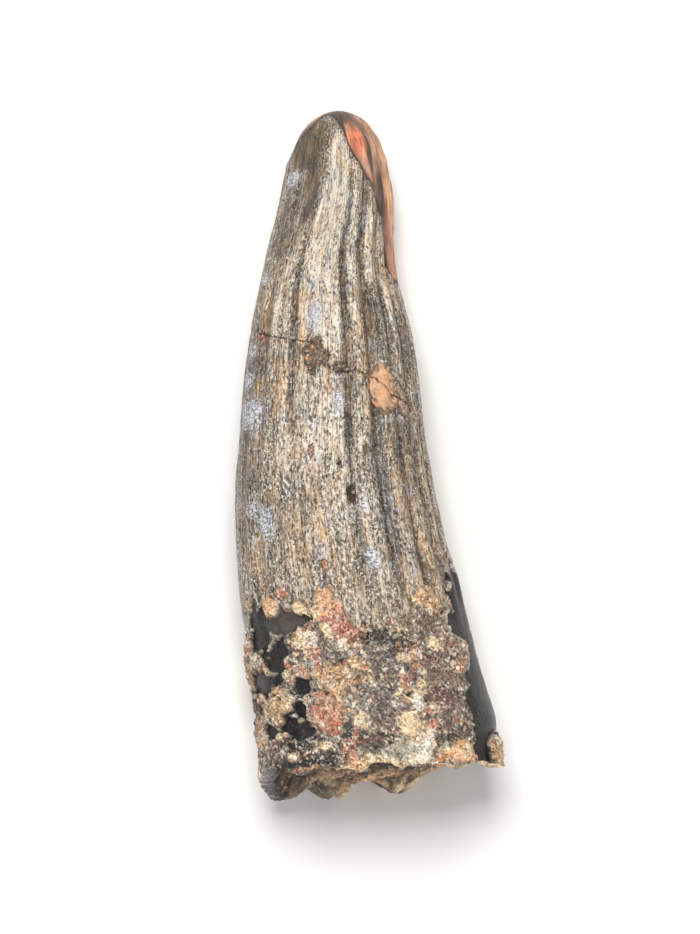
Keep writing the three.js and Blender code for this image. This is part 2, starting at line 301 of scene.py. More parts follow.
# Stained and raised places of the crust
CRUST_SPOTS = (
    Spot(80, -18.1, 1.3, 1.5, "grey"),
    Spot(86, -20.9, 1.7, 2.0, "grey"),
    Spot(92, -23.4, 1.6, 0.7, "slate"),
    Spot(53, -14.6, 1.9, 1.8, "liver"),
    Spot(49, -18.6, 1.6, 2.6, "liver"),
    Spot(45, -21.5, 1.8, 1.6, "liver"),
    Spot(70, -15.9, 0.9, 0.75, "slate"),
    Spot(79, -15.4, 1.0, 0.55, "slate"),
    Spot(86, -15.5, 0.4, 0.45, "slate"),
    Spot(54, -23.2, 1.1, 0.7, "slate"),
    Spot(106, -22.4, 0.55, 0.6, "slate"),
    Spot(134, -23.5, 1.5, 0.8, "slate"),
    Spot(142, -24.6, 2.4, 0.7, "slate"),
    Spot(120, -24.4, 1.3, 0.6, "slate"),
    Spot(166, -20.4, 1.1, 1.0, "slate"),
    Spot(112, -19.8, 0.7, 0.45, "slate"),
    Spot(149, -24.2, 1.5, 0.75, "liver"),
    Spot(130, -24.9, 2.6, 0.28, "root"),
    Spot(44, -12.0, 1.0, 1.4, "tan"),
    Spot(143, -20.7, 1.2, 1.1, "gold", 0.2),
    Spot(105, -18.6, 1.3, 1.0, "tan"),
    Spot(98, -20.0, 0.7, 0.9, "crust"),
    Spot(100, -13.9, 0.8, 1.6, "salmon", 0.1),
    Spot(127, -12.1, 0.5, 0.5, "rust", 0.15),
    Spot(136, -13.0, 0.7, 0.75, "apricot", 0.35),
    Spot(126, -13.0, 0.6, 0.45, "lichen", 0.2),
    Spot(118, -13.5, 0.6, 0.8, "cream", 0.3),
    Spot(110, -13.6, 0.45, 0.45, "cream", 0.2),
    Spot(103, -12.6, 0.65, 1.1, "apricot", 0.25),
    Spot(114, -15.4, 0.5, 0.45, "pale", 0.15),
    Spot(121, -15.9, 0.5, 0.55, "cream", 0.1),
    Spot(104, -15.0, 0.4, 0.6, "cream"),
    Spot(113, -16.7, 0.42, 0.8, "salmon", 0.1),
    Spot(112, -17.8, 0.22, 0.4, "rust"),
    Spot(166, -15.8, 0.65, 0.7, "salmon", 0.15),
    Spot(162, -17.3, 1.3, 0.75, "lichen", 0.25),
    Spot(146, -16.6, 0.85, 0.6, "lichen", 0.2),
    Spot(144, -22.5, 0.6, 0.55, "cream", 0.1),
    Spot(163, -22.7, 0.8, 0.8, "tan", 0.1),
    Spot(135, -24.3, 0.5, 0.3, "cream"),
    Spot(95, -15.0, 1.0, 0.9, "rust", 0.22),
    Spot(69, -17.0, 0.45, 0.35, "cream", 0.1),
    Spot(94, -17.3, 0.5, 0.45, "gold"),
    Spot(80, -13.5, 0.2, 0.3, "pale"),
    Spot(73, -13.4, 0.22, 0.4, "rose"),
    Spot(84, -12.9, 0.3, 0.6, "apricot"),
    Spot(52, -12.5, 0.5, 0.6, "apricot", 0.1),
    Spot(52, -11.2, 0.3, 0.4, "apricot"),
    Spot(29, -15.6, 0.45, 0.6, "tan", 0.1),
    Spot(37, -17.6, 0.4, 0.5, "rust", 0.1),
    Spot(39, -15.9, 0.4, 0.3, "rose"),
    Spot(50, -15.9, 0.55, 0.45, "cream", 0.1),
    Spot(56, -17.2, 0.5, 0.9, "maroon"),
    Spot(72, -18.6, 0.36, 0.6, "rust"),
    Spot(61, -18.0, 0.3, 0.4, "cream", 0.2),
    Spot(72, -19.2, 0.42, 0.5, "tan", 0.3),
    Spot(64, -18.9, 0.36, 0.4, "cream", 0.25),
    Spot(68, -20.3, 0.42, 0.75, "pale", 0.4),
    Spot(61, -20.5, 0.3, 0.4, "cream", 0.2),
    Spot(56, -20.1, 0.95, 0.9, "maroon", 0.05),
    Spot(50, -21.6, 0.3, 0.4, "salmon"),
    Spot(63, -21.9, 0.35, 0.3, "salmon", 0.1),
    Spot(113, -21.4, 1.05, 1.65, "salmon", 0.12),
    Spot(117, -20.9, 0.5, 0.7, "rust"),
    Spot(110, -22.2, 0.45, 0.8, "rust"),
    Spot(103, -23.3, 0.55, 0.35, "rose"),
    Spot(93, -23.1, 0.6, 0.3, "maroon"),
    Spot(96, -21.7, 0.42, 0.65, "cream", 0.35),
    Spot(75, -22.0, 0.85, 0.9, "cream", 0.5),
    Spot(77, -23.7, 0.8, 0.85, "lichen", 0.35),
    Spot(68, -23.4, 0.6, 0.55, "pale", 0.4),
    Spot(71, -24.4, 0.6, 0.5, "pale", 0.35),
    Spot(86, -24.6, 1.9, 0.42, "cream", 0.2),
    Spot(74, -24.1, 0.9, 0.9, "pale", 0.3),
    Spot(69, -23.4, 0.35, 0.9, "pale", 0.3),
    Spot(82, -24.1, 1.2, 0.6, "lichen", 0.1),
    Spot(56, -24.1, 0.8, 0.5, "cream", 0.25),
    Spot(100, -24.8, 0.9, 0.42, "apricot", 0.15),
    Spot(122, -25.2, 1.0, 0.2, "apricot", 0.05),
    Spot(60, -24.4, 0.48, 0.38, "amber", 0.25),
    Spot(48, -23.9, 1.1, 0.85, "apricot", 0.5),
    Spot(47, -23.9, 0.6, 0.5, "cream", 0.1),
    Spot(14, -24.0, 1.3, 1.35, "gold", 0.45),
    Spot(12, -23.0, 0.8, 0.4, "cream", 0.1),
    Spot(180, -17.0, 1.2, 1.6, "tan", 0.2),
    Spot(190, -20.0, 1.4, 1.0, "rust", 0.2),
    Spot(205, -18.2, 1.3, 1.6, "apricot", 0.4),
    Spot(225, -23.0, 1.5, 1.2, "cream", 0.3),
    Spot(228, -19.0, 0.8, 1.2, "rose", 0.1),
    Spot(250, -16.0, 1.3, 1.3, "tan", 0.1),
    Spot(275, -23.0, 1.6, 1.1, "rust", 0.0),
    Spot(290, -18.5, 1.0, 1.4, "cream", 0.1),
    Spot(310, -14.8, 1.2, 0.9, "apricot", 0.15),
    Spot(316, -21.0, 1.4, 1.6, "maroon", 0.35),
    Spot(345, -16.0, 1.1, 1.8, "tan", 0.3),
    Spot(350, -21.0, 1.2, 1.6, "salmon", 0.2),
)

# Broken places of the enamel: the pit, the chips along the crack, and the flake with orange under it
CHIP_SPOTS = (
    Spot(102, 6.2, 0.75, 1.2, "chip", -0.22),
    Spot(94, 5.8, 0.4, 0.6, "chip", -0.12),
    Spot(85, 5.3, 0.7, 0.55, "chip", -0.2),
    Spot(36, 2.8, 0.65, 1.1, "flake", -0.14),
    Spot(54, 3.7, 1.15, 1.75, "spall", -0.24),
    Spot(82, -4.6, 0.3, 0.7, "pit", -0.3),
    Spot(87, -2.3, 0.17, 0.25, "pit", -0.2),
    Spot(103, 6.9, 0.14, 0.16, "apricot", -0.1),
    Spot(107, 5.9, 0.14, 0.16, "apricot", -0.1),
    Spot(98, 5.4, 0.16, 0.2, "rust", -0.1),
    Spot(86, 6.4, 0.14, 0.18, "flake", -0.05),
    Spot(35, 2.5, 0.35, 0.22, "salmon", -0.1),
    Spot(103, -1.4, 0.18, 0.4, "rust", -0.05),
    Spot(148, 8.0, 0.4, 0.26, "rust", -0.05),
    Spot(101, -10.1, 0.32, 0.5, "salmon", 0.12),
    Spot(230, 7.2, 1.1, 1.4, "chip", -0.2),
    Spot(292, 4.6, 0.8, 1.3, "spall", -0.2),
)

# Large soft areas of the enamel, of the dentine at the tip, and of the whitish film on the enamel
ENAMEL_AREAS = (
    # The dark areas along the grooves' angles deepen the grooves as painted shade.
    Spot(57, 8.5, 0.6, 3.4, "soot_and_shade"),
    Spot(63, -1.5, 0.7, 3.4, "soot_and_shade"),
    Spot(60, -7.5, 0.6, 3.2, "soot_and_shade"),
    Spot(41, -1.5, 1.2, 3.8, "soot_and_shade"),
    Spot(30, 7.5, 0.9, 3.2, "soot_and_shade"),
    Spot(80, 0.0, 0.3, 4.0, "soot_and_shade"),
    Spot(127, 23.3, 1.9, 2.3, "olive"),
    Spot(118, 20.0, 0.7, 3.0, "olive"),
    Spot(138, 17.5, 1.3, 3.5, "sepia"),
    Spot(31, -8.6, 0.5, 2.6, "soot_and_shade"),
    Spot(79, 13.0, 0.3, 5.0, "soot_and_shade"),
    Spot(64, 14.0, 0.3, 4.0, "soot_and_shade"),
    Spot(117, 10.5, 0.3, 3.0, "soot_and_shade"),
    Spot(160, 0.0, 1.2, 9.0, "sepia"),
    Spot(150, 6.0, 1.5, 4.0, "sepia"),
    Spot(155, -3.0, 1.8, 3.0, "sepia"),
    Spot(110, 11.5, 0.4, 3.6, "gold"),
    Spot(110, 9.5, 0.3, 2.2, "apricot"),
    Spot(125, 4.4, 0.6, 2.3, "gold"),
    Spot(120, -2.0, 0.9, 0.9, "gold"),
    Spot(98, -6.6, 0.55, 1.8, "gold"),
    Spot(46, -7.3, 0.6, 2.1, "gold"),
    Spot(38, -9.6, 0.8, 1.6, "gold"),
    Spot(30, -8.6, 0.35, 0.8, "apricot"),
    Spot(52, -10.6, 0.5, 1.0, "apricot"),
    Spot(148, 10.5, 1.0, 2.4, "gold"),
    Spot(143, -9.0, 0.8, 2.2, "gold"),
    Spot(70, 7.5, 0.25, 3.5, "gold"),
)
# Where the painted highlight of the enamel is strong: its light flecks, winding lines and lighter body stand
# in for glints, strongest along the top of the crown. The number is the strength.
HIGHLIGHT_AREAS = (
    Spot(87, 22.2, 0.9, 2.6, "", 1.9),
    Spot(91, 17.2, 1.3, 4.2, "", 2.0),
    Spot(97, 11.5, 1.3, 4.2, "", 1.6),
    Spot(128, 11.0, 0.8, 4.0, "", 0.5),
    Spot(76, 18.6, 0.4, 1.8, "", 1.4),
    Spot(70, 14.5, 0.5, 3.4, "", 1.3),
    Spot(56, 15.5, 0.45, 3.0, "", 1.6),
    Spot(42, 10.5, 0.4, 2.4, "", 0.9),
    Spot(88, 9.5, 2.0, 4.2, "", 0.8),
    Spot(92, 0.5, 2.6, 4.4, "", 0.5),
    Spot(80, -5.5, 1.8, 4.0, "", 0.3),
    Spot(118, -1.5, 1.2, 3.5, "", 0.25),
    Spot(62, -9.5, 1.2, 2.5, "", 0.6),
    Spot(260, 2.0, 3.0, 6.0, "", 0.5),
    Spot(230, 14.0, 1.6, 5.0, "", 0.5),
    Spot(300, 9.0, 1.6, 5.0, "", 0.5),
)
FROST_AREAS = (
    Spot(162, 6.9, 1.3, 0.8),
    Spot(162, 4.6, 1.3, 0.7),
    Spot(154, 1.9, 2.1, 1.4),
    Spot(134, -7.0, 0.9, 1.8),
    Spot(144, -5.4, 0.9, 0.7),
    Spot(168, -4.8, 1.2, 0.7),
    Spot(101, 8.7, 0.9, 1.5),
    Spot(85, 2.7, 0.45, 1.4),
    Spot(75, -5.3, 0.4, 1.2),
    Spot(75, -9.3, 0.55, 1.0),
    Spot(143, 20.8, 1.1, 0.8),
    Spot(159, 12.8, 1.3, 0.7),
    Spot(205, 3.0, 1.6, 1.4),
    Spot(240, -6.0, 1.4, 2.0),
    Spot(322, 1.0, 1.2, 2.2),
    # These two lay the bluish white along the top ridge as a painted reflection of the light on it.
    Spot(91, 18.5, 0.9, 3.8, "", 0.5),
    Spot(76, 17.0, 0.5, 2.8, "", 0.5),
)
TIP_AREAS = (
    Spot(86, 25.9, 1.3, 0.7, "umber"),
    Spot(54, 25.0, 0.7, 0.6, "liver"),
    Spot(48, 22.6, 0.3, 1.9, "umber"),
    Spot(38, 19.8, 0.35, 2.4, "soot_and_shade"),
    Spot(30, 17.0, 0.4, 2.6, "maroon"),
    Spot(20, 20.0, 0.6, 3.4, "apricot"),
    Spot(14, 16.0, 0.4, 2.2, "salmon"),
    Spot(65, 23.8, 0.8, 1.3, "orange"),
    Spot(128, 25.6, 0.5, 0.6, "maroon"),
    Spot(150, 24.4, 1.4, 0.9, "chip"),
    Spot(250, 23.0, 1.8, 1.6, "orange"),
    Spot(210, 22.5, 0.6, 1.6, "umber"),
    Spot(300, 19.5, 0.6, 2.6, "umber"),
)

# Small patches of the crust: colour, strength, size in mm, where the noise starts and ends to show
# them, and seed
CRUST_PATCHES = (
    ("grey", 0.85, 1.3, -0.14, 0.08, 201),
    ("lichen", 0.45, 1.0, 0.08, 0.2, 211),
    ("tan", 0.7, 0.9, 0.17, 0.26, 221),
    ("cream", 0.8, 0.7, 0.24, 0.32, 231),
    ("salmon", 0.7, 0.8, 0.22, 0.32, 241),
    ("slate", 0.7, 0.9, 0.19, 0.28, 251),
    ("rust", 0.7, 0.7, 0.32, 0.4, 281),
    ("pale", 0.75, 0.45, 0.34, 0.4, 261),
    ("jet", 0.7, 0.6, 0.36, 0.44, 271),
)

# Loose grains: colour, and share of the grains
GRAIN_COLOURS = (
    ("pale", 0.13),
    ("cream", 0.14),
    ("grey", 0.16),
    ("tan", 0.14),
    ("salmon", 0.07),
    ("umber", 0.16),
    ("jet", 0.08),
    ("crust", 0.12),
)
GRAIN_SEED = 7


def linear(red, green, blue):
    """A display colour from 0 to 255 as the linear colour that Blender stores."""
    shares = [value / 255 for value in (red, green, blue)]
    return tuple(s / 12.92 if s <= 0.04045 else ((s + 0.055) / 1.055) ** 2.4 for s in shares)


def colour_property(name, description, *shade):
    """A colour that a user can change, with its default as a display colour."""
    return FloatVectorProperty(
        name=name, description=description, subtype="COLOR", size=3, min=0.0, max=1.0, default=linear(*shade)
    )


def length_property(name, description, length):
    """A length that a user can change, with its default in metres."""
    return FloatProperty(name=name, description=description, default=length, min=0.0, unit="LENGTH")


class FossilToothColours(bpy.types.PropertyGroup):
    """Colours of the enamel, the dentine, the root and the crust."""

    enamel: colour_property("Enamel", "Body colour of the crown's enamel", 154, 132, 106)
    # This light colour is laid as painted highlights: light flecks, winding lines and ridges that stand in
    # for glints on the glossy enamel.
    ivory: colour_property("Ivory", "Light specks and ridges of the enamel", 246, 234, 214)
    # This dark colour is the enamel's own dark lines and pores, and is also laid as painted shade in the
    # grooves, along the enamel's broken edge, round the chips and under the broken end's rim.
    soot_and_shade: colour_property("Soot", "Dark grooves and lines of the enamel", 58, 49, 42)
    sepia: colour_property("Sepia", "Brown left side of the enamel", 112, 95, 74)
    olive: colour_property("Olive", "Smooth dark enamel beside the tip", 98, 88, 72)
    gold: colour_property("Gold", "Golden streaks of the enamel", 200, 164, 118)
    steel: colour_property("Steel", "Bluish grey patches of the enamel", 116, 118, 122)
    # Frost is also laid along the top ridge as a painted reflection of the light.
    frost: colour_property("Frost", "Bluish white mineral film on the enamel", 222, 228, 242)
    peach: colour_property("Peach", "Bare dentine along the worn edge", 190, 146, 122)
    orange: colour_property("Orange", "Bright dentine under the tip", 228, 140, 104)
    chip: colour_property("Chip", "Brown floor of the chips", 122, 104, 88)
    flake: colour_property("Flake", "Pale flakes beside the crack", 166, 146, 126)
    spall: colour_property("Spall", "Orange floor of the large flake scar", 220, 176, 140)
    # Pit is also laid as painted shade in the hollows of the broken end's filling.
    pit: colour_property("Pit", "Dark floor of the pits", 48, 40, 34)
    crust: colour_property("Crust", "Sand that is cemented to the root", 152, 142, 132)
    grey: colour_property("Grey sand", "Brown grey patches of the crust", 104, 98, 94)
    # Tan is also laid as painted highlights on the tops of the broken end's lumps.
    tan: colour_property("Tan sand", "Tan patches of the crust", 202, 166, 128)
    cream: colour_property("Cream sand", "Cream lumps of the crust", 242, 218, 180)
    pale: colour_property("Pale quartz", "Nearly white lumps of the crust", 250, 242, 226)
    lichen: colour_property("Green grey", "Greenish grey part of the rim", 172, 167, 153)
    apricot: colour_property("Apricot", "Apricot stains of the crust", 230, 180, 136)
    salmon: colour_property("Salmon", "Pinkish stains of the crust", 204, 150, 126)
    rust: colour_property("Rust", "Rust red stains of the crust", 176, 112, 90)
    rose: colour_property("Rose", "Rose stains of the crust", 168, 118, 110)
    maroon: colour_property("Maroon", "Dark red stains of the crust", 118, 88, 82)
    liver: colour_property("Liver", "Red brown side of the crust", 116, 101, 93)
    amber: colour_property("Amber", "Amber pebble in the rim", 206, 140, 92)
    root: colour_property("Root", "Bare black root", 36, 34, 33)
    # Jet is also laid as painted shade just inside the broken end's wall.
    jet: colour_property("Jet", "Deepest black of the root", 9, 8, 8)
    umber: colour_property("Umber", "Dark brown of the root", 78, 72, 67)
    slate: colour_property("Slate", "Blue grey strip of bare root", 27, 29, 31)
    marrow: colour_property("Filling", "Brown filling of the broken end", 160, 132, 106)


class FossilToothSizes(bpy.types.PropertyGroup):
    """Sizes of the tooth's relief, of the sand on it and of the floor."""

    flute_depth: FloatProperty(
        name="Flute depth", description="Share of the flutes' usual depth", default=1.0, min=0.0
    )
    enamel_thickness: length_property("Enamel thickness", "Step between enamel and dentine", 0.3 * MM)
    crust_thickness: length_property("Crust thickness", "Height of the crust over the root", 0.3 * MM)
    grain_size: length_property("Grain size", "Usual width of a sand grain", 0.19 * MM)
    grain_count: IntProperty(name="Grains", description="Number of loose sand grains", default=2200, min=0)
    floor_size: length_property("Floor size", "Side of the floor", 1.6)


def smooth_through(points, column=1):
    """A smooth curve through the points: a cubic on each span, with the slope at a point taken from
    its two neighbours. The curve is level beyond the first and last point."""
    places = np.array([point[0] for point in points], float)
    values = np.array([point[column] for point in points], float)
    before = np.maximum(np.arange(len(places)) - 1, 0)
    after = np.minimum(np.arange(len(places)) + 1, len(places) - 1)
    slopes = (values[after] - values[before]) / (places[after] - places[before])

    def curve(place):
        place = np.clip(place, places[0], places[-1])
        start = np.clip(np.searchsorted(places, place, side="right") - 1, 0, len(places) - 2)
        span = places[start + 1] - places[start]
        t = (place - places[start]) / span
        rise = (values[start + 1] - values[start]) * t * t * (3 - 2 * t)
        pull = slopes[start] * t * (1 - t) ** 2 + slopes[start + 1] * t * t * (t - 1)
        return values[start] + rise + pull * span

    return curve


def smooth_around(points):
    """The same for points given by their angle, joined up around the section."""
    before = [(angle - 360, value) for angle, value in points[-2:]]
    after = [(angle + 360, value) for angle, value in points[:2]]
    curve = smooth_through([*before, *points, *after])
    return lambda angle: curve(np.mod(angle, 360))


def smoothstep(value, low, high):
    """0 below low, 1 above high, and a smooth step between."""
    t = np.clip((value - low) / (high - low), 0, 1)
    return t * t * (3 - 2 * t)


def turn_between(angle, middle):
    """The turn from middle to angle, from -180 to 180 degrees."""
    return np.mod(angle - middle + 180, 360) - 180


def bell(angle, middle, width):
    """A bell over the middle angle: e to the power of minus the square of the turn over the width."""
    return np.exp(-((turn_between(angle, middle) / width) ** 2))


def past_edge(distance):
    """A narrow smooth step from 0 outside an edge to 1 inside it, by the distance in mm."""
    return smoothstep(distance, -0.03, 0.05)


def cell_value(cell, seed):
    """A fixed random value from 0 to 1 for each cell of a grid: the cell's three whole numbers are
    multiplied by large odd numbers, combined and mixed."""
    i, j, k = np.moveaxis(cell, -1, 0)
    mixed = (i * 73856093) ^ (j * 19349663) ^ (k * 83492791) ^ (seed * 2654435761)
    mixed = (mixed & 0xFFFFFFFF).astype(np.uint64)
    for shift, factor in ((15, 2246822519), (13, 3266489917)):
        mixed = ((mixed ^ (mixed >> np.uint64(shift))) * np.uint64(factor)) & np.uint64(0xFFFFFFFF)
    return (mixed >> np.uint64(8)).astype(float) / 0xFFFFFF


def noise(points, size, seed):
    """Smooth noise from -1 to 1 with lumps about size wide: the random values at the eight corners of
    a point's grid cell, blended by smooth steps along x, y and z."""
    scaled = points / size
    low = np.floor(scaled).astype(np.int64)
    t = scaled - low
    t = t * t * (3 - 2 * t)
    total = np.zeros(points.shape[:-1])
    for corner in range(8):
        step = np.array([corner & 1, corner >> 1 & 1, corner >> 2])
        weight = np.prod(np.where(step, t, 1 - t), axis=-1)
        total += weight * cell_value(low + step, seed)
    return 2 * total - 1


def layered_noise(points, size, layers, seed):
    """Noise with finer noise on it: each layer has half the size and 0.55 of the height of the last."""
    total = np.zeros(points.shape[:-1])
    reach = 0.0
    for layer in range(layers):
        height = 0.55**layer
        total += height * noise(points, size / 2**layer, seed + layer)
        reach += height
    return total / reach


def grains(points, size, seed):
    """Rounded grains that fill space: each grid cell holds one point, and a grain is the space
    nearest to its point. Returns the height of a round dome, 1 in a grain's middle and lower by the
    square of the distance from it, and one random value for each grain."""
    scaled = points / size
    low = np.floor(scaled).astype(np.int64)
    nearest = np.full(points.shape[:-1], 9.0)
    owner = np.zeros(points.shape[:-1])
    for step in np.ndindex(3, 3, 3):
        cell = low + (np.array(step) - 1)
        middle = cell + np.stack([cell_value(cell, seed + n) for n in range(3)], axis=-1)
        distance = np.linalg.norm(scaled - middle, axis=-1)
        closer = distance < nearest
        nearest = np.where(closer, distance, nearest)
        owner = np.where(closer, cell_value(cell, seed + 5), owner)
    return 1 - np.clip(nearest, 0, 1) ** 2, owner


def chunks_of(points, size, seed):
    """One random value from -1 to 1 for each grain that fills space, for edges that crumble."""
    _, owner = grains(points, size, seed)
    return 2 * owner - 1


class Side(NamedTuple):
    """The side of the tooth before its relief: angle, y, point, outward direction and mean radius of
    each grid point."""

    angle: np.ndarray
    y: np.ndarray
    point: np.ndarray
    outward: np.ndarray
    radius: np.ndarray


def column_angles():
    """Angles of the columns: evenly spaced, then drawn towards the top by a sine of the turn."""
    turn = np.arange(COLUMNS) / COLUMNS * 2 * math.pi - math.pi
    return np.mod(90 + np.degrees(turn - COLUMN_CROWDING * np.sin(turn)), 360)


def row_heights(angle):
    """Heights of the rows of each column: even steps in bands from the rim up, then steps that
    shorten as the sine of a quarter turn over the tip."""
    rows = [smooth_around(RIM)(angle)]
    for top, count in ROW_BANDS:
        start = rows[-1]
        rows += [start + (top - start) * step / count for step in range(1, count + 1)]
    for step in range(1, TIP_ROWS):
        share = math.sin(step / TIP_ROWS * math.pi / 2)
        rows.append(np.full_like(angle, TIP_ROUNDING_START_Y + (TIP_Y - TIP_ROUNDING_START_Y) * share))
    return np.stack(rows)


def tip_rounding(y, power):
    """How much the section shrinks towards the tip: the square root of 1 minus a power of the way
    from where the rounding starts to the tip."""
    way = np.clip((y - TIP_ROUNDING_START_Y) / (TIP_Y - TIP_ROUNDING_START_Y), 0, 1)
    return np.sqrt(1 - way**power)


def section(y):
    """Centre and half sizes of the plain elliptical section at y, with the rounding of the tip."""
    left = smooth_through(OUTLINE, 1)(y)
    right = smooth_through(OUTLINE, 2)(y)
    half_width = (right - left) / 2
    half_depth = half_width * smooth_through(DEPTH_SHARE)(y)
    rounding = tip_rounding(y, TIP_ROUNDING_POWER)
    centre_z = smooth_through(UNDERSIDE)(y) + half_depth
    return (left + right) / 2, centre_z, half_width * rounding, half_depth * rounding


def plain_side():
    """The side as a grid: each row is an ellipse, x by the cosine and z by the sine of the angle."""
    angle = column_angles()
    y = row_heights(angle)
    centre_x, centre_z, half_width, half_depth = section(y)
    cos, sin = np.cos(np.radians(angle)), np.sin(np.radians(angle))
    point = np.stack([centre_x + half_width * cos, y, centre_z + half_depth * sin], axis=-1)
    outward = np.stack([half_depth * cos, np.zeros_like(y), half_width * sin], axis=-1)
    outward /= np.maximum(np.linalg.norm(outward, axis=-1, keepdims=True), 1e-9)
    return Side(np.broadcast_to(angle, y.shape), y, point, outward, (half_width + half_depth) / 2)


def spot_reach(spot, side, ragged=0.0):
    """How far inside a spot each point lies: above 0 inside, 0 on its edge and below 0 outside. The
    distance is that of an ellipse in mm around and along the tooth, plus the ragged noise."""
    around = np.radians(turn_between(side.angle, spot.angle)) * side.radius / spot.around
    along = (side.y - spot.y) / spot.along
    size = min(spot.around, spot.along)
    return (1 - np.hypot(around, along) + ragged) * size


def soft_cover(spots, side, blur):
    """The largest share of any of the spots at each point, fading over the outer part of a spot and
    multiplied by its strength where it has one."""
    cover = np.zeros(side.y.shape)
    for spot in spots:
        reach = spot_reach(spot, side, blur) / min(spot.around, spot.along)
        share = smoothstep(reach, -0.35, 0.6) * (spot.height or 1.0)
        cover = np.maximum(cover, share)
    return cover


def flute_angle(angle, y):
    """Angle used to find the flutes: near the tip the flutes left of the middle lean to the right."""
    return angle + 11 * bell(angle, 112, 42) * smoothstep(y, 9, 24)


def fibre_points(side):
    """Where the streaks of the enamel are looked up, on a bar that rounds off at the tip: the cosine
    and the sine of the flute angle, each times the bar's radius, and y along the bar."""
    angle = np.radians(flute_angle(side.angle, side.y))
    radius = FIBRE_RADIUS * tip_rounding(side.y, FIBRE_ROUNDING_POWER)
    return np.stack([radius * np.cos(angle), radius * np.sin(angle), side.y], axis=-1)


def groove_depth(angle):
    """Depth of the flutes: between two grooves a ridge rises as a sine, so that the grooves are sharp
    and the ridges are round."""
    places = np.array([GROOVES[-1][0] - 360, *[g[0] for g in GROOVES], GROOVES[0][0] + 360], float)
    depths = np.array([GROOVES[-1][1], *[g[1] for g in GROOVES], GROOVES[0][1]])
    wrapped = np.mod(angle, 360)
    start = np.clip(np.searchsorted(places, wrapped, side="right") - 1, 0, len(places) - 2)
    t = (wrapped - places[start]) / (places[start + 1] - places[start])
    depth = depths[start] + (depths[start + 1] - depths[start]) * t
    return depth * (1 - np.sin(np.pi * t) ** 1.1)


def thin_crust_share(angle):
    """Where the crust thins out slowly towards the crown: a bell over the middle of the upper side."""
    return bell(angle, 82, 26)


class Zones(NamedTuple):
    """Where each finish is, in mm inside its edge, and how strong the soft areas are."""

    worn: np.ndarray
    crusted: np.ndarray
    bare: np.ndarray
    chipped: np.ndarray
    crack: np.ndarray
    pale: np.ndarray
    frost: np.ndarray
    groove: np.ndarray


def side_zones(side):
    """The zones of the side: distances to the edges, made ragged by noise in two sizes."""
    ragged = 0.6 * layered_noise(side.point, 1.4, 3, 11)
    fine_ragged = layered_noise(side.point, 0.62, 2, 21)
    chunks = chunks_of(side.point * (1, 0.75, 1), 0.55, 25)
    small_chunks = chunks_of(side.point * (1, 0.8, 1), 0.3, 27)
    thin_crust = thin_crust_share(side.angle)
    worn = side.y - smooth_around(ENAMEL_EDGE)(side.angle) + 0.25 * fine_ragged

    crusted = smooth_around(CRUST_EDGE)(side.angle) - side.y
    crusted += 1.3 * (1 + thin_crust) * ragged + (1 + 1.5 * thin_crust) * (0.25 * fine_ragged + 0.4 * chunks)
    crusted += 0.9 * thin_crust * small_chunks
    bare = np.full(side.y.shape, -FAR)
    for spot in BARE_SPOTS:
        bare = np.maximum(bare, spot_reach(spot, side, 1.3 * ragged + 0.3 * fine_ragged + 0.4 * chunks))
    lowest_angle, strip_low, strip_high = SLATE_STRIP
    turn = turn_between(side.angle, 0)
    across = np.minimum(smooth_through(SLATE_EDGE)(side.y) - turn, turn - lowest_angle) / 10
    across += 0.7 * ragged + 0.3 * chunks
    ends = np.minimum(side.y - strip_low, strip_high - side.y) + 1.2 * ragged
    bare = np.maximum(bare, np.minimum(across, ends))
    raised = np.full(side.y.shape, -FAR)
    for spot in CRUST_SPOTS:
        if spot.height:
            reach = spot_reach(spot, side, 0.9 * ragged + 0.3 * chunks)
            raised = np.maximum(raised, reach)
            if spot.height > COVERING_HEIGHT:
                bare = np.minimum(bare, -reach)
    crusted = np.maximum(crusted, raised)

    chipped = np.full(side.y.shape, -FAR)
    torn = 0.8 * ragged + 0.4 * fine_ragged + 0.22 * chunks + 0.22 * small_chunks
    for spot in CHIP_SPOTS:
        chipped = np.maximum(chipped, spot_reach(spot, side, torn))
    crack = side.y - smooth_around(CRACK)(side.angle) + 0.35 * ragged + 0.12 * chunks

    blur = 0.4 * layered_noise(side.point, 1.6, 2, 31)
    frost = soft_cover(FROST_AREAS, side, 1.2 * blur)
    fading = smoothstep(side.y, -15, -9) * (1 - smoothstep(side.y, 19, 25))
    fading *= 1 - 0.35 * smoothstep(side.y, 9, 15)
    flat_middle = smoothstep(side.y, 7, -3) * bell(side.angle, 108, 42)
    groove = groove_depth(flute_angle(side.angle, side.y)) * fading * (1 - 0.65 * flat_middle)
    # The painted highlight: strong in the highlight areas, weaker in dull areas and in the grooves. On the
    # crust the same value marks the calm raised lumps, and on the chips the flake scar.
    pale = 0.35 + 0.65 * soft_cover(HIGHLIGHT_AREAS, side, blur)
    dull_areas = [spot for spot in ENAMEL_AREAS if spot.colour in ("olive", "soot_and_shade", "sepia")]
    dull = soft_cover(dull_areas, side, blur)
    pale = pale * (1 - 0.85 * dull) * (1.2 - 1.1 * smoothstep(groove, 0.03, 0.2))
    smooth = soft_cover([spot for spot in ENAMEL_AREAS if spot.colour == "olive"], side, blur)
    pale = np.clip(pale, 0, 1) - 0.5 * smooth
    lumps = soft_cover([spot for spot in CRUST_SPOTS if spot.height > CALM_HEIGHT], side, 0)
    pale = np.where(crusted > 0, lumps, pale)
    scar = np.max([spot_reach(spot, side) for spot in CHIP_SPOTS if spot.colour == "spall"], axis=0)
    pale = np.where(chipped > 0, smoothstep(scar, -0.4, -0.2), pale)
    return Zones(worn, crusted, bare, chipped, crack, pale, frost, groove)


